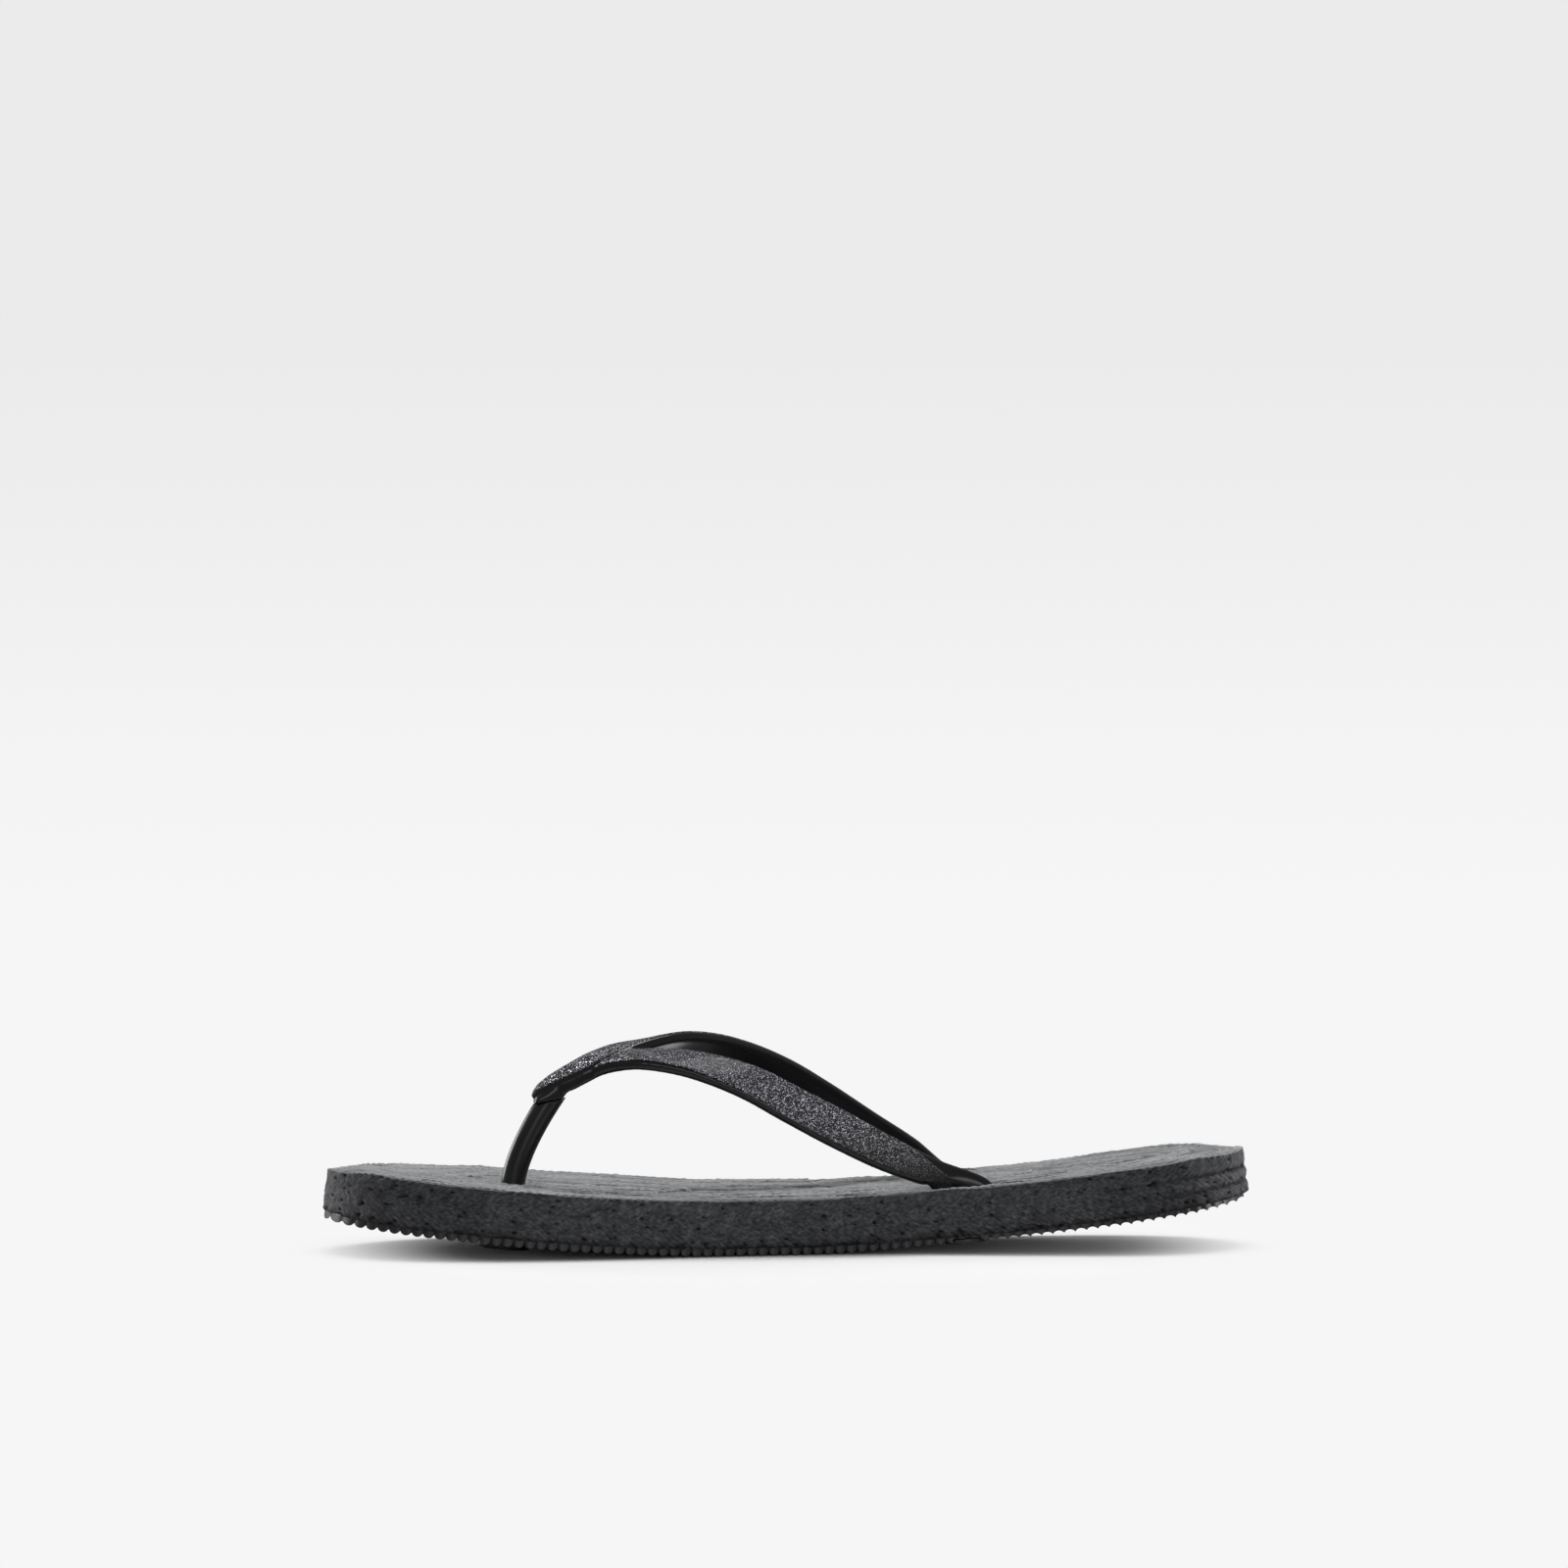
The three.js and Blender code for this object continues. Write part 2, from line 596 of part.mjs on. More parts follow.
function rubberOutsole() {
  const count = Math.floor((SOLE_LENGTH - RIB_FOOT) / RIB_PITCH);
  const firstRib = -(count * RIB_PITCH) / 2;
  const lower = [solePoint(TOE_X - 3, 0, RIB_HEIGHT)];
  for (let i = 0; i <= count; i += 1) {
    const x = firstRib + i * RIB_PITCH;
    lower.push(solePoint(x - RIB_FOOT / 2, 0, RIB_HEIGHT));
    lower.push(solePoint(x - RIB_TIP / 2, 0, 0));
    lower.push(solePoint(x + RIB_TIP / 2, 0, 0));
    lower.push(solePoint(x + RIB_FOOT / 2, 0, RIB_HEIGHT));
  }
  lower.push(solePoint(HEEL_X + 3, 0, RIB_HEIGHT));
  const sheet = layer(lower, OUTSOLE_TOP).intersect(outlinePrism);
  const recess = SIDE_DISC_THICKNESS + FIT;
  const pockets = Object.values(SLOT_Y).map((y) => toSolid(discGeometry(
    SLOT_X, y, -1, recess, SIDE_DISC_DIAMETER / 2 + FIT)));
  return toGeometry(cut(sheet, [...holes, ...pockets]));
}

function facingArm(name) {
  const { frames } = armFrames(name);
  const lift = STRAP_THICKNESS / 2 + FIT + FACING_THICKNESS / 2;
  const rings = frames.map(({ centre, across, face, half }) => {
    const raised = centre.clone().addScaledVector(face, lift);
    return barRing(raised, across, face, half - FACING_MARGIN, FACING_THICKNESS, FACING_CORNER);
  });
  return lofted(smoothRings(rings, ARM_STEPS));
}

function glitterFacing() {
  const skin = join([facingArm('medial'), facingArm('lateral')]);
  return toGeometry(cut(skin, grownArms));
}

function sidePlugDisc(name) {
  const y = SLOT_Y[name];
  const disc = toSolid(discGeometry(SLOT_X, y, FIT / 2, SIDE_DISC_THICKNESS, SIDE_DISC_DIAMETER / 2));
  return toGeometry(disc);
}

// ---- assembly -------------------------------------------------------------------------

const flipFlop = new THREE.Group();

function add(name, geometry, finish) {
  const mesh = new THREE.Mesh(geometry, new THREE.MeshStandardMaterial(MATERIALS[finish]));
  mesh.name = name;
  flipFlop.add(mesh);
  return mesh;
}

add('braid_coil', braidCoil(), 'braid');
stitchStations().forEach((x, i) => {
  const number = String(i + 1).padStart(2, '0');
  add(`transverse_stitch_${number}`, stitchBar(x, STITCH_THICKNESS, 0), 'thread');
});
add('rubber_outsole', rubberOutsole(), 'rubber');
add('thong_strap', thongStrap(), 'gloss');
add('glitter_facing', glitterFacing(), 'glitter');
add('toe_post', toePost(), 'gloss');
add('toe_plug_disc', toePlugDisc(), 'gloss');
add('medial_plug_disc', sidePlugDisc('medial'), 'gloss');
add('lateral_plug_disc', sidePlugDisc('lateral'), 'gloss');

// The origin goes under the middle of the object's box.
const middle = new THREE.Box3().setFromObject(flipFlop).getCenter(new THREE.Vector3());
flipFlop.children.forEach((mesh) => mesh.position.set(-middle.x, -middle.y, 0));

export default flipFlop;
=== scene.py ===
import math

import bpy
import numpy as np
from bpy.props import FloatProperty, FloatVectorProperty, PointerProperty
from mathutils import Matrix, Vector


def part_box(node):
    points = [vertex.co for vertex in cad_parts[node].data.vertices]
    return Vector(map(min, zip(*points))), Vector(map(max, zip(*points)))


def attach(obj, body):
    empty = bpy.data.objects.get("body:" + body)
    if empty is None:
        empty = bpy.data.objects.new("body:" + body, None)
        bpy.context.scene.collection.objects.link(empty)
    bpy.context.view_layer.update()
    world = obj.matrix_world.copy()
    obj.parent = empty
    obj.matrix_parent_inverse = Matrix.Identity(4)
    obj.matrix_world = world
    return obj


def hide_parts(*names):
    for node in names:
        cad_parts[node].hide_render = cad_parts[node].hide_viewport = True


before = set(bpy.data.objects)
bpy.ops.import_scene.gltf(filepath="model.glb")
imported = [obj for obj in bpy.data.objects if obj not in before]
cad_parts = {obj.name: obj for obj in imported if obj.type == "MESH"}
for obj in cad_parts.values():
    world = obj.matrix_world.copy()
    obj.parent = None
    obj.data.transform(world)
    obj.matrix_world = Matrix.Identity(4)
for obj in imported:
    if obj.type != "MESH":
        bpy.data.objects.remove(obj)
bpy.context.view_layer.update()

bl_info = {
    "name": "Braided flip flop",
    "version": (1, 0, 0),
    "blender": (4, 5, 0),
    "location": "3D View > Sidebar > Flip flop",
    "description": "A flip flop with a coiled braid sole, a ribbed rubber outsole and a glitter strap",
    "category": "Add Mesh",
}

# The object's sizes are in millimetres; materials, lights and the camera are in metres. Plan
# places are given in the sole's own frame: x runs from toe to heel, y from the medial to the
# lateral side, and heights are measured square to the curved underside.

# Millimetres in a metre.
MM = 1000

# ---- sole -------------------------------------------------------------------

SOLE_LENGTH = 258
BALL_WIDTH = 88
WAIST_WIDTH = 61
HEEL_WIDTH = 65
TOE_X = -SOLE_LENGTH / 2
HEEL_X = SOLE_LENGTH / 2
BALL_X = TOE_X + 66
WAIST_X = HEEL_X - 97
HEEL_WIDE_X = HEEL_X - 31
# The outline's points are this far apart.
OUTLINE_STEP = 0.5

TOE_SPRING = 9.4
HEEL_SPRING = 12.9
FLAT_START = TOE_X + 109
FLAT_END = FLAT_START + 26
ROCKER_POWER = 1.5

RIB_PITCH = 3.1
CUSP_DEPTH = 0.9
OUTSOLE_TOP = 2.6
# The sheet stands back under the braid, whose lowest yarns hang over its top edge.
OUTSOLE_INSET = 0.7
BRAID_BOTTOM = 2.1
FOOTBED = 15.5
# The braid is lower where its outer turn bends round the tips, and fuller round the heel. The
# toe is pressed a little lower on its lateral side.
TOE_DROP = 1.5
TOE_ROLL = 1.2
HEEL_DROP = 1.5
HEEL_BULGE = 1.3

# ---- braid ------------------------------------------------------------------

BRAID_PITCH = 6.5
BRAID_THICKNESS = 6.6
FULL_TURNS = 4
JOGGLE = 40
COIL_START_X = 9.5
YARN_PITCH = 2.1
# How far the yarns climb for each millimetre of the braid's length.
YARN_SLANT = 0.75
# The yarns meet in open arrows a little above the middle of the side.
ARROW_HEIGHT = 9.9
GROOVE_HEIGHTS = (10.4, 6.2)
PIT_SPACING = 8.5
PIT_DEPTH = 0.75
# The length that one unit of the yarns' UV map stands for.
YARN_MAP_LENGTH = 13.5
# How far apart the braid's sections stand: closely where its side shows.
OUTER_STEP = 0.44
INNER_STEP = 0.9
# Loops lie inside the full turns, with their middles at these depths from the outline.
LOOP_DEPTH = (FULL_TURNS + 0.5) * BRAID_PITCH
SECOND_LOOP_DEPTH = LOOP_DEPTH + BRAID_PITCH

# The core is the line that the coil closes in on.
CORE_START = TOE_X + 43
CORE_END = HEEL_X - 34
CORE_MIDDLE = 5
CORE_BOW = 4
FOREFOOT_END = 40
HEEL_LOOP_FRONT = 70
# The wide flat length under the loops keeps this far inside the outline, and lies this low.
FLAT_MARGIN = 17
FLAT_SUNK = 1.5

# ---- toe post and strap -----------------------------------------------------

POST_DIAMETER = 6.7
POST_LEAN = 11
POST_RISE = 24.5
POST_TOP_SHARE = 0.947
# The post already leans a little inside the sole.
POST_DRIFT = 1.2
SEAT_SLOPE = 0.19
SLOT_X = TOE_X + 178.5
STRAP_THICKNESS = 3.2
FACING_LIFT = 0.12
# The post's lower end is inside its disc.
POST_FOOT = -1.2
HOLE_CLEARANCE = 0.05

# The edges of the strap's upper face, at stations from the toe post to the footbed: the inner
# edge and the outer edge, each as x, y, height over the ground.
MEDIAL_EDGES = [
    [(-58.0, -16.6, 50.6), (-58.0, -20.4, 49.4)],
    [(-54.0, -16.8, 53.0), (-54.5, -22.4, 51.4)],
    [(-48.5, -17.0, 55.8), (-49.5, -24.2, 52.9)],
    [(-41.0, -16.8, 56.8), (-42.5, -26.4, 53.9)],
    [(-29.0, -18.9, 56.8), (-31.5, -28.2, 52.2)],
    [(-18.0, -20.8, 55.0), (-22.0, -29.4, 49.0)],
    [(-7.5, -22.3, 51.8), (-12.4, -30.4, 44.6)],
    [(3.5, -23.4, 46.3), (-2.0, -31.0, 38.6)],
    [(16.0, -24.0, 39.9), (10.6, -31.0, 31.6)],
    [(28.5, -23.4, 33.0), (24.0, -29.6, 25.0)],
    [(40.0, -22.4, 26.8), (35.8, -26.6, 20.2)],
]
LATERAL_EDGES = [
    [(-71.2, -18.4, 43.6), (-71.2, -15.0, 43.6)],
    [(-68.6, -19.9, 45.4), (-68.6, -13.4, 45.4)],
    [(-65.0, -20.8, 47.2), (-65.0, -12.2, 47.6)],
    [(-61.0, -21.5, 49.1), (-61.3, -11.2, 49.8)],
    [(-54.5, -22.2, 52.3), (-55.6, -9.6, 53.2)],
    [(-48.5, -20.4, 55.2), (-49.0, -6.9, 55.8)],
    [(-41.0, -15.4, 58.4), (-43.6, -3.4, 56.4)],
    [(-30.0, -7.8, 60.8), (-35.0, 2.4, 55.0)],
    [(-20.0, -0.8, 60.2), (-25.6, 7.8, 52.4)],
    [(-9.5, 5.8, 57.3), (-15.8, 13.2, 48.2)],
    [(2.0, 12.4, 52.2), (-4.8, 18.4, 42.0)],
    [(14.3, 18.8, 44.6), (7.6, 23.8, 34.0)],
    [(27.0, 23.2, 36.0), (21.2, 27.8, 25.8)],
    [(39.0, 25.4, 28.0), (34.8, 28.8, 20.4)],
    [(48.8, 26.2, 20.3), (38.9, 29.3, 17.5)],
]
# At the lateral arm's first stations: how far its face arches over the chord between its
# edges, and how thick its body is.
FRONT_ARCH = [0.3, 1.6, 2.3, 2.5, 2.5, 2.0, 1.0, 0.35]
FRONT_BODY = [1.2, 3.0, 4.6, 4.8, 4.6, 4.0, 3.5, 3.2]
ARM_CROWN = 0.35
ENTRY_LENGTH = 15
# Inside the sole an arm narrows to a stem.
STEM_LENGTH = 10
STEM_SHOULDER = 9.0
STEM_FOOT = 2.2

# ---- plug discs -------------------------------------------------------------

TOE_DISC_RADIUS = 7.5
SIDE_DISC_RADIUS = 6.2
SIDE_HOLLOW_RADIUS = 6.9
SIDE_HOLLOW_DEPTH = 1.75


# ---- numbers ----------------------------------------------------------------


def smoothstep(low, high, value):
    """0 below low, 1 above high, and the curve 3t^2 - 2t^3 between them."""
    share = np.clip((value - low) / (high - low), 0.0, 1.0)
    return share * share * (3.0 - 2.0 * share)


def mix(low, high, share):
    """The value that lies the given share of the way from low to high."""
    return low + (high - low) * share


def unit(vectors):
    """Vectors scaled to length one."""
    return vectors / np.maximum(np.linalg.norm(vectors, axis=-1, keepdims=True), 1e-9)


def wobble(places, seed, octaves=3):
    """Smooth noise along a line, about -1 to 1: random values at whole numbers, joined by
    smoothstep curves, summed over octaves of double rate and half strength."""
    count = 4096
    total = np.zeros_like(places, dtype=float)
    for octave in range(octaves):
        values = np.random.default_rng(seed + octave).uniform(-1, 1, count)
        scaled = places * 2**octave
        whole = np.floor(scaled).astype(int)
        share = smoothstep(0, 1, scaled - whole)
        total += mix(values[whole % count], values[(whole + 1) % count], share) * 0.5**octave
    return total / 1.6


def cloud(u, v, seed):
    """Smooth noise over a plane, about -1 to 1: random values at whole-number places, joined
    by smoothstep curves both ways."""
    size = 256
    values = np.random.default_rng(seed).uniform(-1, 1, (size, size))
    i = np.floor(u).astype(int)
    j = np.floor(v).astype(int)
    du = smoothstep(0, 1, u - i)
    dv = smoothstep(0, 1, v - j)
    near = mix(values[i % size, j % size], values[(i + 1) % size, j % size], du)
    far = mix(values[i % size, (j + 1) % size], values[(i + 1) % size, (j + 1) % size], du)
    return mix(near, far, dv)


def curve_through(points, closed=False, fine=60):
    """A centripetal Catmull-Rom curve, sampled finely: between two points it is the Hermite
    cubic whose end slopes weigh the neighbours by the square roots of their distances."""
    points = np.asarray(points, dtype=float)
    if closed:
        padded = np.vstack([points[-1:], points, points[:2]])
    else:
        padded = np.vstack([2 * points[0] - points[1], points, 2 * points[-1] - points[-2]])
    before, start, end, after = (padded[k : len(padded) - 3 + k, None, :] for k in range(4))
    gap_before = np.linalg.norm(start - before, axis=-1, keepdims=True) ** 0.5
    gap = np.linalg.norm(end - start, axis=-1, keepdims=True) ** 0.5
    gap_after = np.linalg.norm(after - end, axis=-1, keepdims=True) ** 0.5
    leave = (start - before) / gap_before - (end - before) / (gap_before + gap) + (end - start) / gap
    arrive = (end - start) / gap - (after - start) / (gap + gap_after) + (after - end) / gap_after
    t = np.linspace(0, 1, fine, endpoint=False)[None, :, None]
    sampled = (
        start * (2 * t**3 - 3 * t**2 + 1)
        + end * (3 * t**2 - 2 * t**3)
        + leave * gap * (t**3 - 2 * t**2 + t)
        + arrive * gap * (t**3 - t**2)
    )
    sampled = sampled.reshape(-1, points.shape[1])
    return sampled if closed else np.vstack([sampled, points[-1]])


def along(points):
    """The length run at each point of a path."""
    steps = np.linalg.norm(np.diff(points, axis=0), axis=1)
    return np.concatenate([[0.0], np.cumsum(steps)])


def even(points, spacing, closed=False):
    """The same path with points at even distances, about the spacing apart."""
    path = np.vstack([points, points[:1]]) if closed else points
    run = along(path)
    count = max(3, int(round(run[-1] / spacing)))
    places = np.linspace(0, run[-1], count + 1)[: count if closed else count + 1]
    return np.stack([np.interp(places, run, path[:, k]) for k in range(path.shape[1])], axis=1)


# ---- the curved sole --------------------------------------------------------


def rocker(x):
    """Lift and slope of the underside: a power curve towards the toe and the heel, flat between."""
    toe_share = np.clip((FLAT_START - x) / (FLAT_START - TOE_X), 0, None)
    heel_share = np.clip((x - FLAT_END) / (HEEL_X - FLAT_END), 0, None)
    lift = TOE_SPRING * toe_share**ROCKER_POWER + HEEL_SPRING * heel_share**ROCKER_POWER
    toe_slope = TOE_SPRING * toe_share ** (ROCKER_POWER - 1) / (FLAT_START - TOE_X)
    heel_slope = HEEL_SPRING * heel_share ** (ROCKER_POWER - 1) / (HEEL_X - FLAT_END)
    return lift, ROCKER_POWER * (heel_slope - toe_slope)


def sole_point(x, y, height):
    """Places at a height over the underside, measured square to the curved sole."""
    lift, slope = rocker(x)
    upright = 1 / np.sqrt(1 + slope * slope)
    return np.stack([x - height * slope * upright, y + 0 * x, lift + height * upright], axis=-1)


def outline_curve():
    """The sole's outline seen from above: a closed smooth curve through the widths at the
    ball, the waist and the heel, fuller on the lateral side."""
    ball, waist, heel = BALL_WIDTH / 2, WAIST_WIDTH / 2, HEEL_WIDTH / 2
    points = [
        (TOE_X, -0.12 * ball),
        (TOE_X + 6, -0.6 * ball),
        (TOE_X + 19, -0.86 * ball),
        (BALL_X - 22, -0.97 * ball),
        (BALL_X, -0.96 * ball),
        (mix(BALL_X, WAIST_X, 0.56), -mix(0.96 * ball, 0.9 * waist, 0.68)),
        (WAIST_X, -0.9 * waist),
        (mix(WAIST_X, HEEL_WIDE_X, 0.6), -mix(0.9 * waist, 0.98 * heel, 0.75)),
        (HEEL_WIDE_X, -0.98 * heel),
        (HEEL_X - 12, -0.75 * heel),
        (HEEL_X, 0),
        (HEEL_X - 12, 0.78 * heel),
        (HEEL_WIDE_X, 1.02 * heel),
        (mix(WAIST_X, HEEL_WIDE_X, 0.42), 1.01 * heel),
        (WAIST_X - 10, 1.13 * waist),
        (mix(BALL_X, WAIST_X, 0.5), mix(1.03 * ball, 1.13 * waist, 0.45)),
        (BALL_X + 15, 1.03 * ball),
        (BALL_X - 20, 0.91 * ball),
        (TOE_X + 22, 0.65 * ball),
        (TOE_X + 7, 0.29 * ball),
    ]
    return even(curve_through(points, closed=True), OUTLINE_STEP, closed=True)


def core_y(x):
    """The core line: an arc that bows towards the lateral side of the waist."""
    reach = np.where(x < CORE_MIDDLE, CORE_MIDDLE - CORE_START, CORE_END - CORE_MIDDLE)
    drop = np.where(x < CORE_MIDDLE, 6, 3.5)
    return CORE_BOW - drop * np.minimum(1, np.abs(x - CORE_MIDDLE) / reach) ** 2


def inset(points, distance):
    """Outline points moved towards the core line by a distance."""
    x = np.clip(points[:, 0], CORE_START, CORE_END)
    core = np.stack([x, core_y(x)], axis=1)
    return points + unit(core - points) * np.reshape(distance, (-1, 1))


OUTLINE = outline_curve()


def edge_y(x, side):
    """Where the outline crosses the station x on the medial (-1) or the lateral (+1) side."""
    kept = OUTLINE[(OUTLINE[:, 1] - core_y(OUTLINE[:, 0])) * side > 0]
    order = np.argsort(kept[:, 0])
    return np.interp(x, kept[order, 0], kept[order, 1])


POST_X = TOE_X + 50
POST_Y = float(edge_y(POST_X, -1)) + FULL_TURNS * BRAID_PITCH
SLOT_MEDIAL = float(edge_y(SLOT_X, -1)) + BRAID_PITCH
SLOT_LATERAL = float(edge_y(SLOT_X, 1)) - BRAID_PITCH

# The step from the sole's own frame to the row frame: the middle of the outline's width goes
# to the middle of the outsole's.
OUTSOLE_LOW, OUTSOLE_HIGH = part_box("rubber_outsole")
OUTLINE_MIDDLE = (OUTLINE[:, 1].min() + OUTLINE[:, 1].max()) / 2
TO_ROW = np.array([0.0, (OUTSOLE_LOW.y + OUTSOLE_HIGH.y) / 2 * MM - OUTLINE_MIDDLE, 0.0])


# ---- meshes -----------------------------------------------------------------


def grid_faces(rows, columns, wrap_columns=False, wrap_rows=False):
    """Quads over a grid of vertices numbered row by row, joined round where asked."""
    i = np.arange(rows if wrap_rows else rows - 1)
    j = np.arange(columns if wrap_columns else columns - 1)
    i, j = np.meshgrid(i, j, indexing="ij")
    next_i = (i + 1) % rows
    next_j = (j + 1) % columns
    corners = [i * columns + j, i * columns + next_j, next_i * columns + next_j, next_i * columns + j]
    return np.stack([corner.ravel() for corner in corners], axis=1)


def swept(rings):
    """A closed skin over rings of points (rows, columns, 3), with a fan to a middle point at
    each end. Returns vertices, quads and triangles."""
    rows, columns = rings.shape[:2]
    quads = grid_faces(rows, columns, wrap_columns=True)
    vertices = np.vstack([rings.reshape(-1, 3), rings[0].mean(axis=0), rings[-1].mean(axis=0)])
    first = np.arange(columns)
    second = (first + 1) % columns
    last = (rows - 1) * columns
    start_fan = np.stack([second, first, np.full(columns, rows * columns)], axis=1)
    end_fan = np.stack([last + first, last + second, np.full(columns, rows * columns + 1)], axis=1)
    return vertices, quads, np.vstack([start_fan, end_fan])


def joined(parts):
    """Several (vertices, quads, triangles) as one, without welding them."""
    offset = 0
    vertices, quads, triangles = [], [], []
    for points, fours, threes in parts:
        vertices.append(points)
        quads.append(np.asarray(fours).reshape(-1, 4) + offset)
        triangles.append(np.asarray(threes).reshape(-1, 3) + offset)
        offset += len(points)
    return np.vstack(vertices), np.vstack(quads), np.vstack(triangles)


def signed_volume(vertices, quads, triangles):
    """The volume inside a closed skin, negative if its faces look inwards."""
    faces = np.vstack([triangles, quads[:, :3], quads[:, [0, 2, 3]]])
    a, b, c = (vertices[faces[:, k]] for k in range(3))
    return float(np.einsum("ij,ij->i", a, np.cross(b, c)).sum() / 6)


def new_piece(name, parts, material, yarn=None):
    """An object at the origin from closed skins in the sole's frame, in millimetres. Skins that
    are inside out are turned. yarn, if given, has four numbers per vertex: a pair for the UV map
    that the fibres follow, and a pair for the map that the painted shade reads: how far the
    surface stands out, less a painted shade at the braid's foot."""
    turned = [
        (v, np.asarray(q).reshape(-1, 4)[:, ::-1], np.asarray(t).reshape(-1, 3)[:, ::-1])
        if signed_volume(v, np.asarray(q).reshape(-1, 4), np.asarray(t).reshape(-1, 3)) < 0
        else (v, q, t)
        for v, q, t in parts
    ]
    vertices, quads, triangles = joined(turned)
    mesh = bpy.data.meshes.new(name)
    loops = np.concatenate([quads.ravel(), triangles.ravel()])
    starts = np.concatenate([np.arange(len(quads)) * 4, len(quads) * 4 + np.arange(len(triangles)) * 3])
    mesh.vertices.add(len(vertices))
    mesh.vertices.foreach_set("co", ((vertices + TO_ROW) / MM).ravel())
    mesh.loops.add(len(loops))
    mesh.loops.foreach_set("vertex_index", loops.astype(np.int32))
    mesh.polygons.add(len(starts))
    mesh.polygons.foreach_set("loop_start", starts.astype(np.int32))
    mesh.update(calc_edges=True)
    mesh.validate()
    mesh.polygons.foreach_set("use_smooth", np.full(len(mesh.polygons), True))
    if yarn is not None:
        # The relief map is read only by the jute's painted shade and painted highlight.
        for layer_name, pair in (("yarn", yarn[:, :2]), ("relief", yarn[:, 2:])):
            layer = mesh.uv_layers.new(name=layer_name)
            layer.data.foreach_set("uv", pair[loops].ravel())
    mesh.materials.append(material)
    piece = bpy.data.objects.new(name, mesh)
    bpy.context.scene.collection.objects.link(piece)
    return piece


def dress(name, material):
    """Gives a node of the row its material."""
    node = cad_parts[name]
    node.data.materials.clear()
    node.data.materials.append(material)


def stand_in(piece, name):
    """Lets a piece ride with the body, take a node's place and be recoloured by its slot, and
    dresses the node in the same material."""
    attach(piece, "root")
    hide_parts(name)
    dress(name, piece.data.materials[0])


# ---- materials --------------------------------------------------------------


def linear(code):
    """A colour written as sRGB hex, such as "#1b1b1c", as linear red, green, blue and alpha."""
    channels = [int(code[k : k + 2], 16) / 255 for k in (1, 3, 5)]
    return tuple([c / 12.92 if c <= 0.04045 else ((c + 0.055) / 1.055) ** 2.4 for c in channels] + [1.0])


def add_node(tree, kind, links=None, **values):
    """One shader node. values sets its properties or, where there is no such property, its
    input sockets; links joins its input sockets to other nodes' output sockets."""
    node = tree.nodes.new(kind)
    for key, value in values.items():
        if hasattr(node, key) and key not in node.inputs:
            setattr(node, key, value)
        else:
            node.inputs[key.replace("_", " ")].default_value = value
    for key, source in (links or {}).items():
        tree.links.new(source, node.inputs[key])
    return node


def new_material(name):
    """An empty material and its tree, ready for nodes."""
    material = bpy.data.materials.new(name)
    material.use_nodes = True
    material.node_tree.nodes.clear()
    return material, material.node_tree


def ranged(tree, value, low=0.0, high=1.0, to_low=0.0, to_high=1.0):
    """A number taken evenly from the range low to high to another one, and held at its ends."""
    ends = {"From_Min": low, "From_Max": high, "To_Min": to_low, "To_Max": to_high}
    return add_node(tree, "ShaderNodeMapRange", {0: value}, **ends).outputs[0]


def base_colour(tree, fine, pale, dark, low=0.3, high=0.7):
    """A colour that runs from dark to pale as the fine pattern goes from low to high."""
    blend = add_node(tree, "ShaderNodeMix", {0: ranged(tree, fine, low, high)}, data_type="RGBA")
    blend.inputs[6].default_value = dark
    blend.inputs[7].default_value = pale
    return blend.outputs[2]


def dimmed(tree, colour, factor):
    """A colour multiplied by a number."""
    links = {0: colour, "Scale": factor}
    return add_node(tree, "ShaderNodeVectorMath", links, operation="SCALE").outputs[0]


def part(tree, vector, index):
    """One of the three numbers of a vector."""
    return add_node(tree, "ShaderNodeSeparateXYZ", {0: vector}).outputs[index]


def stretched(tree, scale=(1.0, 1.0, 1.0), uv=None):
    """Coordinates for a pattern: the object's own, in metres, or the named UV map's."""
    if uv:
        source = add_node(tree, "ShaderNodeUVMap", uv_map=uv).outputs[0]
    else:
        source = add_node(tree, "ShaderNodeTexCoord").outputs["Object"]
    return add_node(tree, "ShaderNodeMapping", {"Vector": source}, Scale=scale).outputs[0]


def noise(tree, coordinates, scale, detail=2.0, roughness=0.5):
    """Smooth random pattern with scale patches per unit of the coordinates."""
    values = {"Scale": scale, "Detail": detail, "Roughness": roughness}
    return add_node(tree, "ShaderNodeTexNoise", {"Vector": coordinates}, **values).outputs[0]


def bumped(tree, height, distance, strength=1.0):
    """Surface normals tilted by a height pattern, distance metres deep."""
    node = add_node(tree, "ShaderNodeBump", {"Height": height}, Distance=distance, Strength=strength)
    return node.outputs[0]


def finish_material(tree, shader):
    """The tree's output, fed by one shader."""
    add_node(tree, "ShaderNodeOutputMaterial", {"Surface": shader.outputs[0]})


def surfaced(tree, links, **values):
    """Ends the tree in the usual surface shader."""
    finish_material(tree, add_node(tree, "ShaderNodeBsdfPrincipled", links, **values))


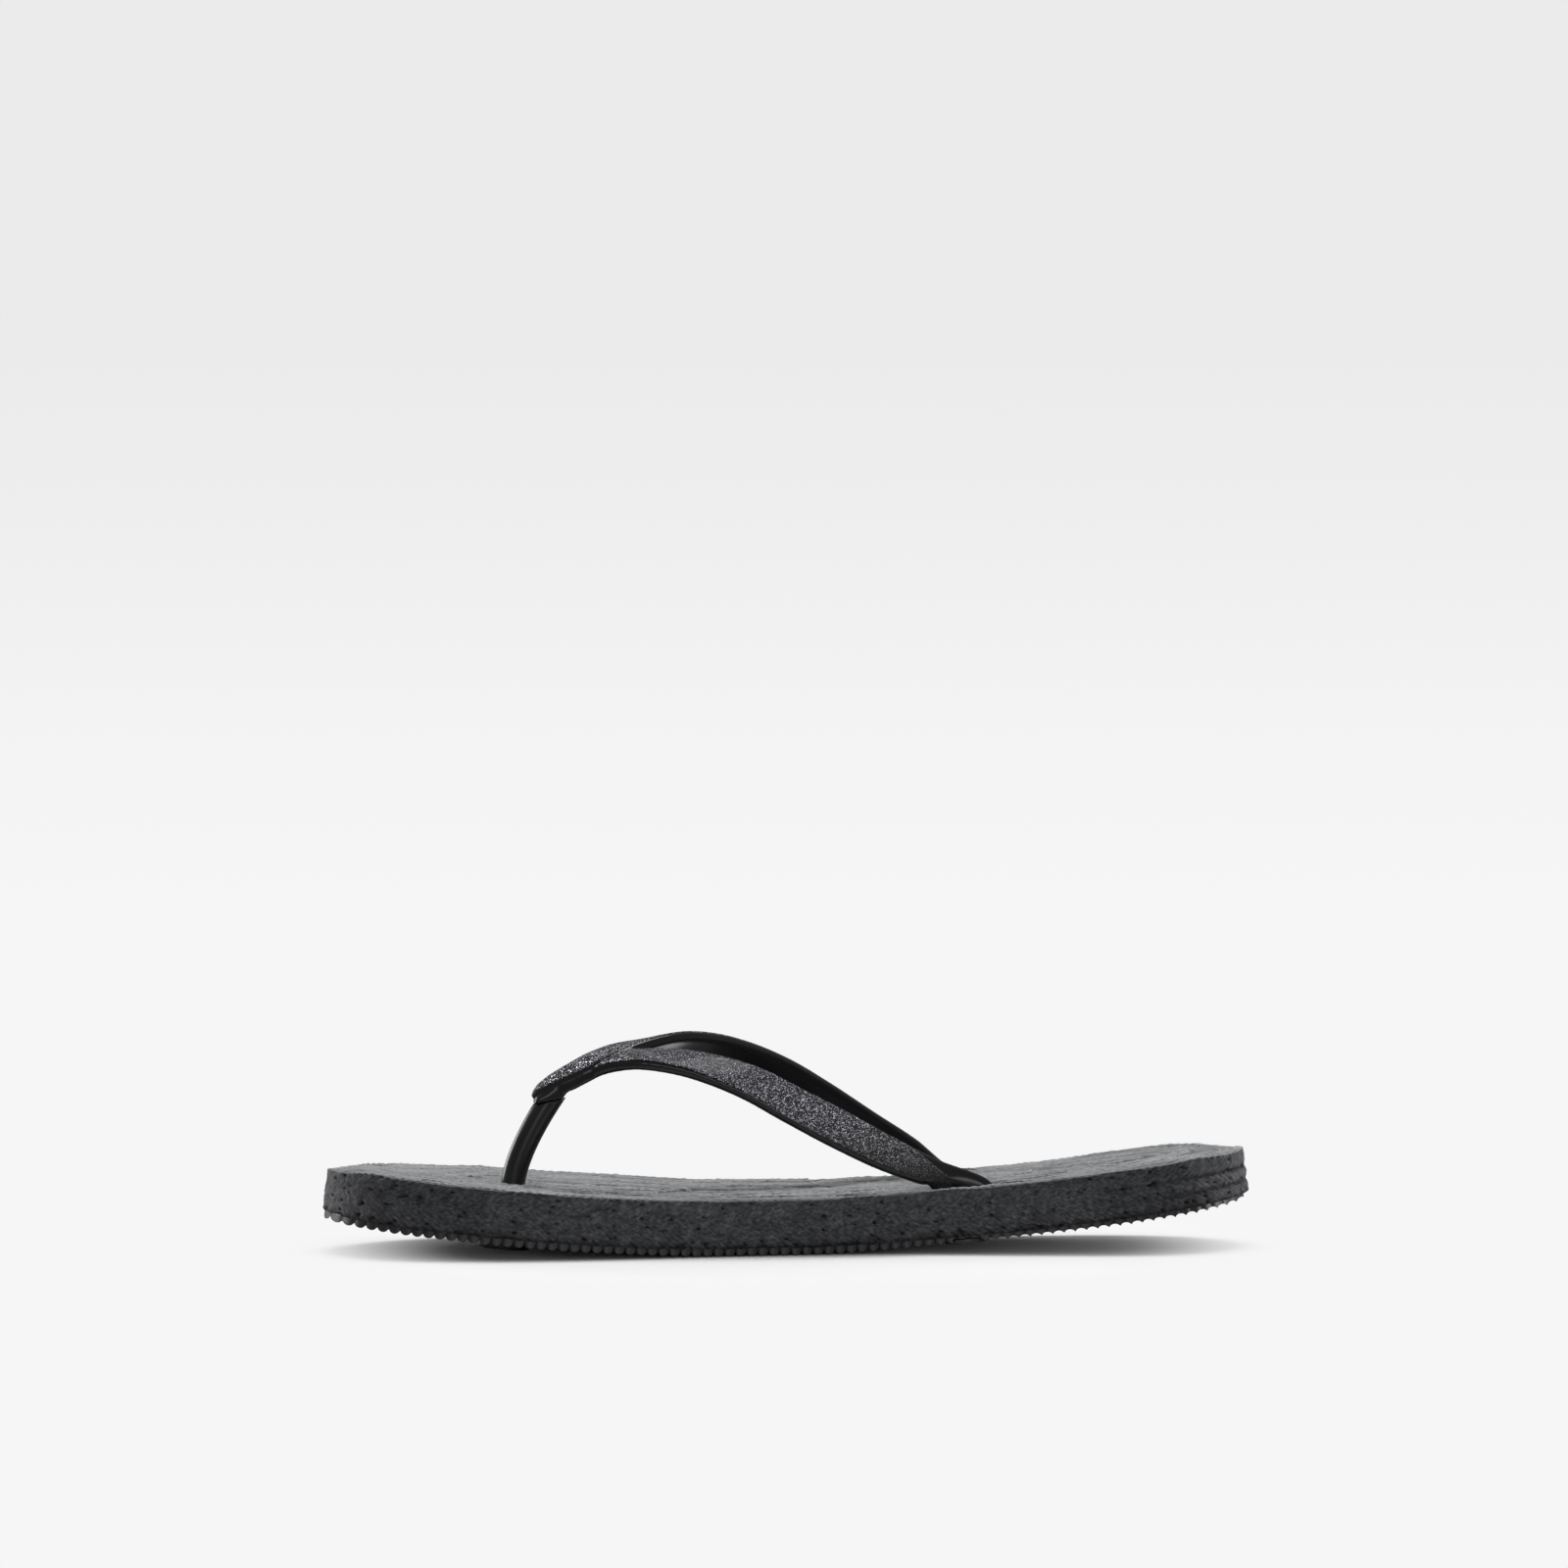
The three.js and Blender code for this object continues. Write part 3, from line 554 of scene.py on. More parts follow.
def dyed_jute(settings):
    """Jute spun into yarn, dyed charcoal and plaited. Fine fibres run along each yarn and are
    unevenly dyed; loose hairs catch the light at a low angle and make the footbed look paler
    than the sides. On top of that, faces that look upwards are painted paler as painted top
    light, and the valleys are painted darker as painted shade."""
    material, tree = new_material("dyed_jute_plait")
    yarn = stretched(tree, (1.0, 6.0, 1.0), "yarn")
    # Fibres are 0.03 to 0.1 mm thick, drawn about 0.4 mm wide so that they can be seen.
    fibres = noise(tree, yarn, 6.0, 3.0, 0.75)
    blotches = noise(tree, stretched(tree, (0.5, 0.5, 1.0)), 1300.0, 3.0, 0.7)
    both = add_node(tree, "ShaderNodeMath", {0: fibres, 1: blotches}, operation="ADD")
    halved = add_node(tree, "ShaderNodeMath", {0: both.outputs[0]}, operation="MULTIPLY")
    halved.inputs[1].default_value = 0.5
    pattern = halved.outputs[0]
    dye = tuple(settings.braid_colour) + (1.0,)
    colour = base_colour(tree, pattern, linear("#67686b"), dye, 0.44, 0.68)
    # Painted top light: faces that look upwards get a paler grey, so that the footbed is drawn lighter
    # than the sides.
    top_lit_colour = base_colour(tree, pattern, linear("#a9abac"), linear("#66686b"), 0.4, 0.66)
    upward = part(tree, add_node(tree, "ShaderNodeNewGeometry").outputs["Normal"], 2)
    top_light_mask = ranged(tree, upward, 0.35, 0.95)
    colour_with_top_light = add_node(tree, "ShaderNodeMix", {0: top_light_mask, 6: colour, 7: top_lit_colour}, data_type="RGBA")
    # Painted shade: colour and sheen are darkened in the valleys between the yarns, in the hollows and at
    # the braid's foot, and a painted highlight lifts them a little on the ridges.
    depth = part(tree, stretched(tree, uv="relief"), 0)
    shade = ranged(tree, depth, -0.6, 0.3, 0.12, 1.3)
    surfaced(
        tree,
        {
            "Base Color": dimmed(tree, colour_with_top_light.outputs[2], shade),
            "Normal": bumped(tree, fibres, 0.0004),
            "Sheen Weight": shade,
        },
        Roughness=0.95,
        Specular_IOR_Level=0.15,
        Sheen_Roughness=0.35,
        Sheen_Tint=linear("#e6e6e8"),
    )
    return material


def waxed_thread():
    """Twisted hemp thread drawn through wax: a fine uneven twist and a dull gleam."""
    material, tree = new_material("waxed_hemp_thread")
    twist = add_node(
        tree,
        "ShaderNodeTexWave",
        {"Vector": stretched(tree, (0.6, 1.0, 0.6))},
        Scale=700.0,
        Distortion=1.5,
        bands_direction="Y",
    ).outputs[1]
    colour = base_colour(tree, twist, linear("#454547"), linear("#232325"), 0.1, 0.9)
    links = {"Base Color": colour, "Normal": bumped(tree, twist, 0.0001)}
    surfaced(tree, links, Roughness=0.55, Sheen_Weight=0.1)
    return material


def moulded_rubber():
    """Black rubber from an open mould: a half-dull, faintly mottled skin with the mould's fine
    grain."""
    material, tree = new_material("moulded_black_rubber")
    place = stretched(tree)
    grain = noise(tree, place, 2600.0, 2.0)
    mottle = noise(tree, place, 90.0, 3.0)
    links = {
        "Base Color": base_colour(tree, mottle, linear("#151516"), linear("#0a0a0b")),
        "Roughness": ranged(tree, mottle, to_low=0.3, to_high=0.48),
        "Normal": bumped(tree, grain, 0.00003, 0.6),
    }
    surfaced(tree, links, Specular_IOR_Level=0.5)
    return material


def glossy_pvc(name, pale, dark, roughness):
    """Soft PVC injected into a polished mould: nearly black, glossy, with the slow ripple that
    is left where the skin shrank as it cooled."""
    material, tree = new_material(name)
    place = stretched(tree)
    ripple = noise(tree, place, 130.0, 2.0)
    haze = noise(tree, place, 900.0, 3.0)
    links = {
        "Base Color": base_colour(tree, ripple, pale, dark),
        "Roughness": ranged(tree, haze, to_low=roughness, to_high=roughness + 0.1),
        "Normal": bumped(tree, ripple, 0.0002, 0.35),
    }
    surfaced(tree, links, Specular_IOR_Level=0.3, Coat_Weight=0.05, Coat_Roughness=0.05)
    return material


def glitter_coat(settings):
    """Glitter flakes in a clear coat over grey-black vinyl: every flake has its own tilt and
    brightness, so that a few flash a faintly violet white and most stay dark."""
    material, tree = new_material("glitter_in_clear_coat")
    place = stretched(tree)
    # Flakes are about 0.2 mm wide.
    flakes = add_node(tree, "ShaderNodeTexVoronoi", {"Vector": place}, Scale=4800.0, feature="F1")
    chance = flakes.outputs["Color"]
    first, second, third = add_node(tree, "ShaderNodeSeparateColor", {0: chance}).outputs
    ground = tuple(settings.glitter_colour) + (1.0,)
    bright = base_colour(tree, first, linear("#e6e3ec"), ground, 0.77, 1.0)
    # The coat thins out towards the arms' ends, where the black vinyl shows through.
    thick = ranged(tree, part(tree, place, 2), 0.021, 0.037, 0.05)
    metal = ranged(tree, third, to_low=0.3)
    thin_metal = add_node(tree, "ShaderNodeMath", {0: metal, 1: thick}, operation="MULTIPLY")
    tilt = add_node(tree, "ShaderNodeNormalMap", {"Color": chance}, space="OBJECT", Strength=0.35)
    links = {
        "Base Color": dimmed(tree, bright, thick),
        "Roughness": ranged(tree, second, to_low=0.25, to_high=0.55),
        "Metallic": thin_metal.outputs[0],
        "Normal": tilt.outputs[0],
    }
    surfaced(tree, links, Specular_IOR_Level=0.3, Coat_Weight=0.15, Coat_Roughness=0.12)
    return material


# ---- braid ------------------------------------------------------------------


def strand_section(fine, coarse, buried):
    """The cross-section of a strand that stands on edge: a tall rectangle with round corners,
    as places across, heights and outward directions. Points are close together on the top and,
    unless the strand is buried in the coil, on the outer face, and far apart where nothing
    shows."""
    half = BRAID_THICKNESS / 2
    step = 0.05
    bottom_radius = 0.9
    outer_radius = 0.5
    inner_radius = 1.3
    corners = [
        (half - bottom_radius, BRAID_BOTTOM + bottom_radius, bottom_radius, -90),
        (half - outer_radius, FOOTBED - outer_radius, outer_radius, 0),
        (inner_radius - half, FOOTBED - inner_radius, inner_radius, 90),
        (bottom_radius - half, BRAID_BOTTOM + bottom_radius, bottom_radius, 180),
    ]
    turn = np.radians(np.linspace(0, 90, 13))
    places = []
    for across, height, radius, start in corners:
        angle = turn + math.radians(start)
        around = np.stack([np.cos(angle), np.sin(angle)], axis=1)
        places.append(np.hstack([[across, height] + radius * around, around]))
    ring = even(np.vstack(places), step, closed=True)
    shows = (ring[:, 0] > bottom_radius - half) & (ring[:, 1] > FOOTBED - inner_radius)
    shows |= (ring[:, 0] > half - inner_radius) & (not buried)
    density = np.where(shows, 1 / fine, 1 / coarse)
    total = np.cumsum(density) * step
    picks = np.searchsorted(total, np.arange(0, total[-1] - 0.2 * coarse / fine, 1.0))
    return ring[np.clip(picks, 0, len(ring) - 1)]


def pits(run, height, cell_run, cell_height, seed, keep):
    """Small hollows, one at a random place in some cells of a grid: each is a Gaussian dip."""
    rows, columns = 512, 16
    table = np.random.default_rng(seed).uniform(0, 1, (rows, columns, 4))
    i = np.floor(run / cell_run).astype(int)
    j = np.floor(height / cell_height).astype(int)
    picked = table[i % rows, j % columns]
    off_run = run - (i + 0.25 + 0.5 * picked[..., 0]) * cell_run
    off_height = height - (j + 0.3 + 0.4 * picked[..., 1]) * cell_height
    wide = 0.45 + 0.35 * picked[..., 2]
    return np.where(picked[..., 3] < keep, np.exp(-((off_run / wide) ** 2) - (off_height / 0.42) ** 2), 0)


def braid_relief(run, ring, seed, yarn_relief, grooves):
    """How far the plait's surface stands out, in millimetres, at a length along the strand and
    a place round its section. The sides carry yarns that slant away from the arrow height,
    with a few hollows between them and two grooves along them; the edge of the footbed is
    scalloped where the yarns bend over it, and the top carries long streaks. Each yarn's
    section is a parabola between sharp valleys."""
    across, height, face_across, face_up = (ring[:, k][None, :] for k in range(4))
    run = run[:, None]
    level = height - ARROW_HEIGHT
    on_top = smoothstep(0.45, 0.9, face_up)
    drift = 0.35 * cloud(run / 5, height / 3 + across / 3, seed)
    side_phase = (run - np.abs(level) / YARN_SLANT) / YARN_PITCH + drift
    top_phase = (run + across) / (1.15 * YARN_PITCH) + drift
    side_yarn = 1 - (2 * (side_phase % 1) - 1) ** 2
    top_yarn = 1 - (2 * (top_phase % 1) - 1) ** 2
    strength = 0.7 + 0.5 * cloud(run / 7, height / 4 + across / 2, seed + 1)
    relief = strength * yarn_relief * mix(side_yarn - 0.6, 1.2 * (top_yarn - 0.6), on_top)
    scallop = 1 - (2 * ((run / YARN_PITCH) % 1) - 1) ** 2
    relief = relief + 0.35 * np.clip(2.2 * face_across * face_up, 0, 1) * (scallop - 0.7)
    lumps = 0.12 * cloud(run / 3.1, height / 2.3 + across / 2.0, seed + 2)
    fuzz = 0.14 * cloud(run / 1.0, height / 0.7 + across / 0.9, seed + 3)
    streaks = 0.42 * cloud(run / 12, across / 0.6, seed + 4) * on_top
    swell = 0.22 * wobble(run / 17 + 0 * across, seed + 5) * on_top
    lanes = sum(np.exp(-(((height - lane) / 0.9) ** 2)) for lane in GROOVE_HEIGHTS)
    hollow = pits(run, level + 20, PIT_SPACING, 3.2, seed + 6, 0.6)
    hollow = hollow + 0.7 * pits(run + 3, level + 20.7, 0.55 * PIT_SPACING, 4.1, seed + 7, 0.35)
    hollow = hollow * (1 - on_top) + 0.8 * on_top * pits(run, across + 20, 14, 6.0, seed + 8, 0.4)
    return relief + lumps + fuzz + streaks + swell - PIT_DEPTH * hollow - grooves * lanes * (1 - on_top)


def plan_side(path, closed):
    """Unit directions that point to the left of a path in plan."""
    if closed:
        run = np.roll(path, -1, axis=0) - np.roll(path, 1, axis=0)
    else:
        run = np.gradient(path, axis=0)
    return unit(np.stack([run[:, 1], -run[:, 0]], axis=1))


def pushed_out(x, y, middle_x, middle_y, half_length, radius):
    """Plan places moved out of a hole shaped like a rounded slot, straight to its wall."""
    off_x = x - middle_x - np.clip(x - middle_x, -half_length, half_length)
    off_y = y - middle_y
    away = np.hypot(off_x, off_y)
    scale = np.maximum(away, radius) / np.maximum(away, 1e-6)
    return x + off_x * (scale - 1), y + off_y * (scale - 1)


def tips(x, y):
    """How much lower the footbed is at a plan place, and how much further back the braid
    bulges: smoothsteps over the last millimetres before the toe and the heel."""
    heel = smoothstep(HEEL_X - 16, HEEL_X, x)
    roll = TOE_ROLL * smoothstep(TOE_X + 50, TOE_X + 12, x) * smoothstep(-20, 15, y)
    return TOE_DROP * smoothstep(TOE_X + 13, TOE_X, x) + roll + HEEL_DROP * heel, HEEL_BULGE * heel


def strand(path, share, section, seed, yarn_relief, closed=False, grooves=0.15, sunk=0.0):
    """A length of braid: the section carried along a plan path, square to it, with the plait's
    relief on it. share is the strand's own part of the full thickness, and sunk is how much
    lower than the footbed its top lies. Returns the skin and its maps: lengths along and across
    the yarns in units of the yarn map, and the relief in millimetres, lowered towards the
    outsole by a painted shade that darkens the braid's foot."""
    side = plan_side(path, closed)
    run = along(np.vstack([path, path[:1]]) if closed else path)[: len(path)]
    out = braid_relief(run, section, seed, yarn_relief, np.reshape(grooves, (-1, 1)))
    across = section[None, :, 0] * np.reshape(share, (-1, 1)) + out * section[None, :, 2]
    height = section[None, :, 1] + out * section[None, :, 3]
    x = path[:, None, 0] + side[:, None, 0] * across
    y = path[:, None, 1] + side[:, None, 1] * across
    x, y = pushed_out(x, y, POST_X + POST_DRIFT, POST_Y, 0, POST_DIAMETER / 2 + HOLE_CLEARANCE)
    half_strap = STRAP_THICKNESS / 2
    for slot_y in (SLOT_MEDIAL, SLOT_LATERAL):
        half_slot = ENTRY_LENGTH / 2 - half_strap
        x, y = pushed_out(x, y, SLOT_X, slot_y, half_slot, half_strap + HOLE_CLEARANCE)
    drop, bulge = tips(x, y)
    height = height - (drop + sunk) * (height - BRAID_BOTTOM) / (FOOTBED - BRAID_BOTTOM)
    rings = sole_point(x + bulge, y, height)
    girth = along(section[:, :2])
    arrow = girth[np.argmin(np.abs(section[:, 1] - ARROW_HEIGHT) + 9 * (section[:, 0] < 0))]
    from_arrow = np.abs(girth - arrow)[None, :]
    lengthwise = (run[:, None] + YARN_SLANT * from_arrow) / YARN_MAP_LENGTH
    crosswise = (from_arrow - YARN_SLANT * run[:, None]) / YARN_MAP_LENGTH
    # Painted shade: the map is lowered near the braid's bottom, so that its colour and sheen are drawn
    # dark next to the outsole.
    painted_foot_shade = 0.9 * np.exp((BRAID_BOTTOM - section[None, :, 1]) / 0.9)
    yarn = np.stack([lengthwise, crosswise, out - painted_foot_shade, 0 * out], axis=-1).reshape(-1, 4)
    if closed:
        rows, columns = rings.shape[:2]
        quads = grid_faces(rows, columns, wrap_columns=True, wrap_rows=True)
        return (rings.reshape(-1, 3), quads, np.empty((0, 3), dtype=int)), yarn
    return swept(rings), np.vstack([yarn, yarn[0], yarn[-1]])


def coil_path(spacing):
    """The outer four turns as one spiral, with the share of full thickness at each point and
    the turn it belongs to. It starts on the lateral side of the waist. Every turn lies one
    pitch further in, and the step inwards is a smoothstep over a short length."""
    miss = np.where(OUTLINE[:, 1] > 0, np.abs(OUTLINE[:, 0] - COIL_START_X), np.inf)
    start = int(np.argmin(miss))
    turn_length = len(OUTLINE)
    step = np.arange(FULL_TURNS * turn_length)
    ramp = smoothstep(0, JOGGLE / OUTLINE_STEP, step % turn_length)
    turn = step // turn_length
    outer = np.maximum(0, turn - 1 + ramp) * BRAID_PITCH
    inner = (turn + ramp) * BRAID_PITCH
    base = OUTLINE[(start + step) % turn_length]
    path = inset(base, (outer + inner) / 2)
    share = np.clip((inner - outer) / BRAID_PITCH, 0.06, 1)
    rows = np.hstack([path, share[:, None], turn[:, None]])
    run = along(path)
    places = np.arange(0, run[-1], spacing)
    return np.stack([np.interp(places, run, rows[:, k]) for k in range(4)], axis=1)


def width_at(x):
    """The sole's width at a station."""
    return edge_y(x, 1) - edge_y(x, -1)


def last_wider(width):
    """The furthest station of the forefoot at which the sole is still wider than a width."""
    x = OUTLINE[:, 0]
    return float(x[(width_at(x) > width) & (x < FOREFOOT_END)].max())


def loop_path(depth, rear, front=TOE_X):
    """A closed loop of the forefoot or the heel that runs at a depth from the outline and turns
    back where its two sides meet."""
    ring = inset(OUTLINE, depth)
    kept = (OUTLINE[:, 0] > front) & (OUTLINE[:, 0] < rear)
    first = int(np.argmax(kept & ~np.roll(kept, 1)))
    kept = np.roll(kept, -first)
    points = np.roll(ring, -first, axis=0)[kept]
    control = points[:: max(1, len(points) // 22)]
    gap = np.linalg.norm(control[0] - control[-1])
    bend = 1 if front == TOE_X else -1
    apex = (control[0] + control[-1]) / 2 + np.array([bend * gap / 2, 0])
    return even(curve_through(np.vstack([control, apex]), closed=True), INNER_STEP, closed=True)


def middle_strand(start, end, taken, limits, section, seed, yarn_relief, sunk=0.0):
    """A length of braid on the core line. taken is the part of the sole's half width that lies
    outside it; it fills the rest, and its share of full thickness keeps to the limits."""
    x = np.arange(start, end, INNER_STEP)
    share = np.clip((width_at(x) / 2 - taken) / (BRAID_THICKNESS / 2), *limits)
    return strand(np.stack([x, core_y(x)], axis=1), share, section, seed, yarn_relief, sunk=sunk)


def coil_pieces(settings):
    """The braid: the outermost turn, whose side shows, and all the turns inside it."""
    jute = dyed_jute(settings)
    yarn_relief = settings.yarn_relief * MM
    outer_section = strand_section(0.42, 1.9, buried=False)
    path = coil_path(OUTER_STEP)
    outer = path[path[:, 3] < 1]
    heel = smoothstep(HEEL_X - 45, HEEL_X - 8, outer[:, 0])
    grooves = 0.05 + 0.4 * heel
    skin, yarn = strand(outer[:, :2], outer[:, 2], outer_section, 11, yarn_relief, grooves=grooves)
    first = new_piece("braid_outer_turn", [skin], jute, yarn)
    section = strand_section(0.5, 3.4, buried=True)
    path = coil_path(INNER_STEP)
    inner = path[path[:, 3] > 0.5]
    rear_wide = last_wider(2 * LOOP_DEPTH + BRAID_PITCH)
    rear_narrow = last_wider(2 * SECOND_LOOP_DEPTH + 7.0)
    in_turns = FULL_TURNS * BRAID_PITCH
    in_loops = in_turns + 2 * BRAID_PITCH
    front = CORE_START - 4
    heel_start = HEEL_LOOP_FRONT + 2
    heel_loop = loop_path(LOOP_DEPTH, HEEL_X, HEEL_LOOP_FRONT)
    any_share = (0.35, math.inf)
    skins = [
        strand(inner[:, :2], inner[:, 2], section, 23, yarn_relief),
        strand(loop_path(LOOP_DEPTH, rear_wide), 1, section, 31, yarn_relief, closed=True),
        strand(loop_path(SECOND_LOOP_DEPTH, rear_narrow), 1, section, 37, yarn_relief, closed=True),
        middle_strand(front, rear_narrow + 1, in_loops, (0.35, 1.5), section, 41, yarn_relief),
        middle_strand(rear_wide - 2, heel_start, in_turns, (0.35, 1.6), section, 43, yarn_relief),
        strand(heel_loop, 1, section, 47, yarn_relief, closed=True),
        middle_strand(front, CORE_END, FLAT_MARGIN, any_share, section, 53, yarn_relief, FLAT_SUNK),
    ]
    yarns = np.vstack([yarn for _, yarn in skins])
    second = new_piece("braid_inner_turns", [skin for skin, _ in skins], jute, yarns)
    for piece in (first, second):
        stand_in(piece, "braid_coil")


# ---- outsole ----------------------------------------------------------------


def rib_drop(x, rib_height):
    """How far the underside stands back from the ribs' lowest line: rounded beads towards the
    toe, and narrow ribs between round hollows towards the heel."""
    place = (x / RIB_PITCH) % 1
    bead = 1 - np.sqrt(np.clip(1 - (2 * place - 1) ** 2, 0, 1))
    hollow = np.sqrt(np.clip(1 - (2 * ((place + 0.5) % 1) - 1) ** 2, 0, 1))
    return rib_height * mix(0.92 * bead, 0.65 * hollow, smoothstep(15, 50, x))


def outsole_piece(rib_height):
    """The rubber sheet: rings across the sole at close stations, flat on top, ribbed below.
    Round the two side discs the sheet is hollowed."""
    tip = 6
    # Stations close up towards the tips, as on an arc.
    turn = np.linspace(0.02, math.pi / 2, 22)
    toe = TOE_X + OUTSOLE_INSET + (tip - OUTSOLE_INSET) * (1 - np.cos(turn))
    heel = HEEL_X - OUTSOLE_INSET - (tip - OUTSOLE_INSET) * (1 - np.cos(turn[::-1]))
    middle = np.arange(TOE_X + tip, HEEL_X - tip, RIB_PITCH / 10)
    x = np.concatenate([toe[:-1], middle, heel[1:]])[:, None]
    cusp = CUSP_DEPTH * (1 - np.sqrt(np.clip(1 - (2 * ((x / RIB_PITCH) % 1) - 1) ** 2, 0, 1)))
    low_y = edge_y(x, -1)
    high_y = edge_y(x, 1)
    inset_here = np.minimum(OUTSOLE_INSET, 0.25 * (high_y - low_y))
    low_y = low_y + inset_here
    high_y = high_y - inset_here
    # Columns across the sheet lie close together near its two edges.
    left, right = np.linspace(0, 0.04, 4), np.linspace(0.96, 1, 4)
    shares = np.concatenate([left, np.linspace(0.06, 0.94, 50), right])
    y = mix(low_y, high_y, shares[None, :])
    inward = np.minimum(y - low_y, high_y - y)
    bottom = rib_drop(x, rib_height) + 0.2 * (1 - smoothstep(0, 1.6, inward))
    for slot_y in (SLOT_MEDIAL, SLOT_LATERAL):
        away = np.hypot(x - SLOT_X, y - slot_y)
        bottom = np.where(away < SIDE_HOLLOW_RADIUS, SIDE_HOLLOW_DEPTH, bottom)
    side_heights = np.array([0.9, 1.6, 2.2, OUTSOLE_TOP - 0.15])[None, :]
    left_rise = np.maximum(side_heights, bottom[:, :1])
    right_rise = np.maximum(side_heights, bottom[:, -1:])
    # The cusps between the ribs fade out where the sheet narrows to its tips.
    taper = np.minimum(1, (high_y - low_y) / 4)
    side_in = np.concatenate([cusp, cusp, 0.9 * cusp, 0.8 * cusp], axis=1) * taper
    edge_in = (cusp * taper) * np.sign(0.5 - shares)[None, :] * (inward < 0.8)
    rows = [
        sole_point(x, y + edge_in, bottom),
        sole_point(x, high_y - side_in, right_rise),
        sole_point(x, mix(high_y, low_y, np.linspace(0.01, 0.99, 8)), np.full((1, 8), OUTSOLE_TOP)),
        sole_point(x, (low_y + side_in)[:, ::-1], left_rise[:, ::-1]),
    ]
    rings = np.concatenate(rows, axis=1)
    piece = new_piece("outsole_ribbed", [swept(rings)], moulded_rubber())
    piece.data.set_sharp_from_angle(angle=math.radians(45))
    stand_in(piece, "rubber_outsole")


def lathe(profile, x, y, count=72):
    """A round piece that stands square to the sole at a place: the profile of radii and heights
    turned about its axis. The profile starts and ends on the axis."""
    profile = np.asarray(profile, dtype=float)
    angle = np.linspace(0, 2 * math.pi, count, endpoint=False)
    lift, slope = rocker(np.float64(x))
    upright = 1 / math.sqrt(1 + slope * slope)
    forward = np.array([upright, 0, slope * upright])
    normal = np.array([-slope * upright, 0, upright])
    foot = np.array([x, y, lift])
    body = profile[1:-1]
    spokes = np.cos(angle)[:, None] * forward + np.sin(angle)[:, None] * np.array([0, 1.0, 0])
    rings = foot + body[:, None, :1] * spokes[None] + body[:, None, 1:] * normal
    vertices, quads, triangles = swept(rings)
    vertices[-2] = foot + normal * profile[0, 1]
    vertices[-1] = foot + normal * profile[-1, 1]
    return vertices, quads, triangles


def rounded_profile(radius, low, high, fillet, dish):
    """The profile of a disc with rounded edges and a shallow dished middle below."""
    turn = np.radians(np.linspace(0, 90, 7))
    lower = [(radius - fillet + fillet * math.sin(a), low + fillet - fillet * math.cos(a)) for a in turn]
    upper = [(radius - fillet + fillet * math.cos(a), high - fillet + fillet * math.sin(a)) for a in turn]
    hollow = [(0, low + dish), (0.55 * radius, low + dish), (0.68 * radius, low + 0.02)]
    return hollow + [(0.75 * radius, low)] + lower + upper + [(0, high)]


def disc_pieces():
    """The plug discs under the sole: a thick one below the toe post, and one for each arm."""
    plug = glossy_pvc("moulded_plug_pvc", linear("#222223"), linear("#121212"), 0.25)
    side_profile = rounded_profile(SIDE_DISC_RADIUS, 0.15, 1.6, 0.35, 0.2)
    discs = [
        ("toe_plug_disc", POST_X, POST_Y, rounded_profile(TOE_DISC_RADIUS, -2.2, -0.15, 0.3, 0.25)),
        ("medial_plug_disc", SLOT_X, SLOT_MEDIAL, side_profile),
        ("lateral_plug_disc", SLOT_X, SLOT_LATERAL, side_profile),
    ]
    for node, x, y, profile in discs:
        piece = new_piece(node + "_moulded", [lathe(profile, x, y)], plug)
        stand_in(piece, node)


# ---- toe post and strap -----------------------------------------------------


def post_piece():
    """The toe post: a round bar that leans towards the heel as it rises. It drifts a little
    inside the sole and then leans by a power curve; the last rings turn to the seat's slope, and
    each ring is widened by its slant so that the bar keeps its thickness."""
    foot = sole_point(np.float64(POST_X + POST_DRIFT), POST_Y, FOOTBED)
    share = np.linspace(0, POST_TOP_SHARE, 60)[:, None]
    upper = foot + np.hstack([POST_LEAN * share**1.5, 0 * share, POST_RISE * share])
    drift = np.linspace(0, 1, 6)
    lower = sole_point(POST_X + POST_DRIFT * drift**2, POST_Y, mix(POST_FOOT, FOOTBED - 1, drift))
    path = even(curve_through(np.vstack([lower, upper[3::8]]), fine=30), 0.6)
    tangent = unit(np.gradient(path, axis=0))
    square = np.stack([tangent[:, 2], 0 * tangent[:, 0], -tangent[:, 0]], axis=1)
    seat = unit(np.array([1.0, 0.0, SEAT_SLOPE]))
    turned = smoothstep(0.72, 1, np.linspace(0, 1, len(path)))[:, None]
    forward = unit(mix(square, seat, turned))
    forward /= np.linalg.norm(np.cross(forward, tangent), axis=1, keepdims=True)
    angle = np.linspace(0, 2 * math.pi, 48, endpoint=False)
    radius = POST_DIAMETER / 2
    sideways = np.sin(angle)[None, :, None] * np.array([0, 1.0, 0])
    rings = path[:, None] + radius * (np.cos(angle)[None, :, None] * forward[:, None] + sideways)
    gloss = glossy_pvc("polished_post_pvc", linear("#121213"), linear("#080809"), 0.24)
    piece = new_piece("toe_post_bar", [swept(rings)], gloss)
    stand_in(piece, "toe_post")
    return path[-1]


def arm_frames(edges, side, slot_y):
    """One arm of the strap at close steps: inner edge, outer edge, face direction and station.
    Below the footbed the arm is a stem that stands upright in its slot."""
    face_y = slot_y + side * STRAP_THICKNESS / 2
    widths = [
        (ENTRY_LENGTH / 2 + 1, FOOTBED),
        (STEM_LENGTH / 2 + 1, STEM_SHOULDER),
        (STEM_LENGTH / 2, STEM_FOOT),
    ]
    tail = [
        (sole_point(SLOT_X + half, face_y, height), sole_point(SLOT_X - half, face_y, height))
        for half, height in widths
    ]
    table = np.array([np.hstack([np.array(inner), np.array(outer)]) for inner, outer in edges + tail])
    fine = 40
    smooth = curve_through(table, fine=fine)
    station = np.arange(len(smooth)) / fine
    smooth = even(np.hstack([smooth, station[:, None]]), 0.7)
    inner, outer, station = smooth[:, :3], smooth[:, 3:6], smooth[:, 6]
    tangent = unit(np.gradient((inner + outer) / 2, axis=0))
    face = side * np.cross(unit(inner - outer), tangent)
    return inner, outer, unit(face), station


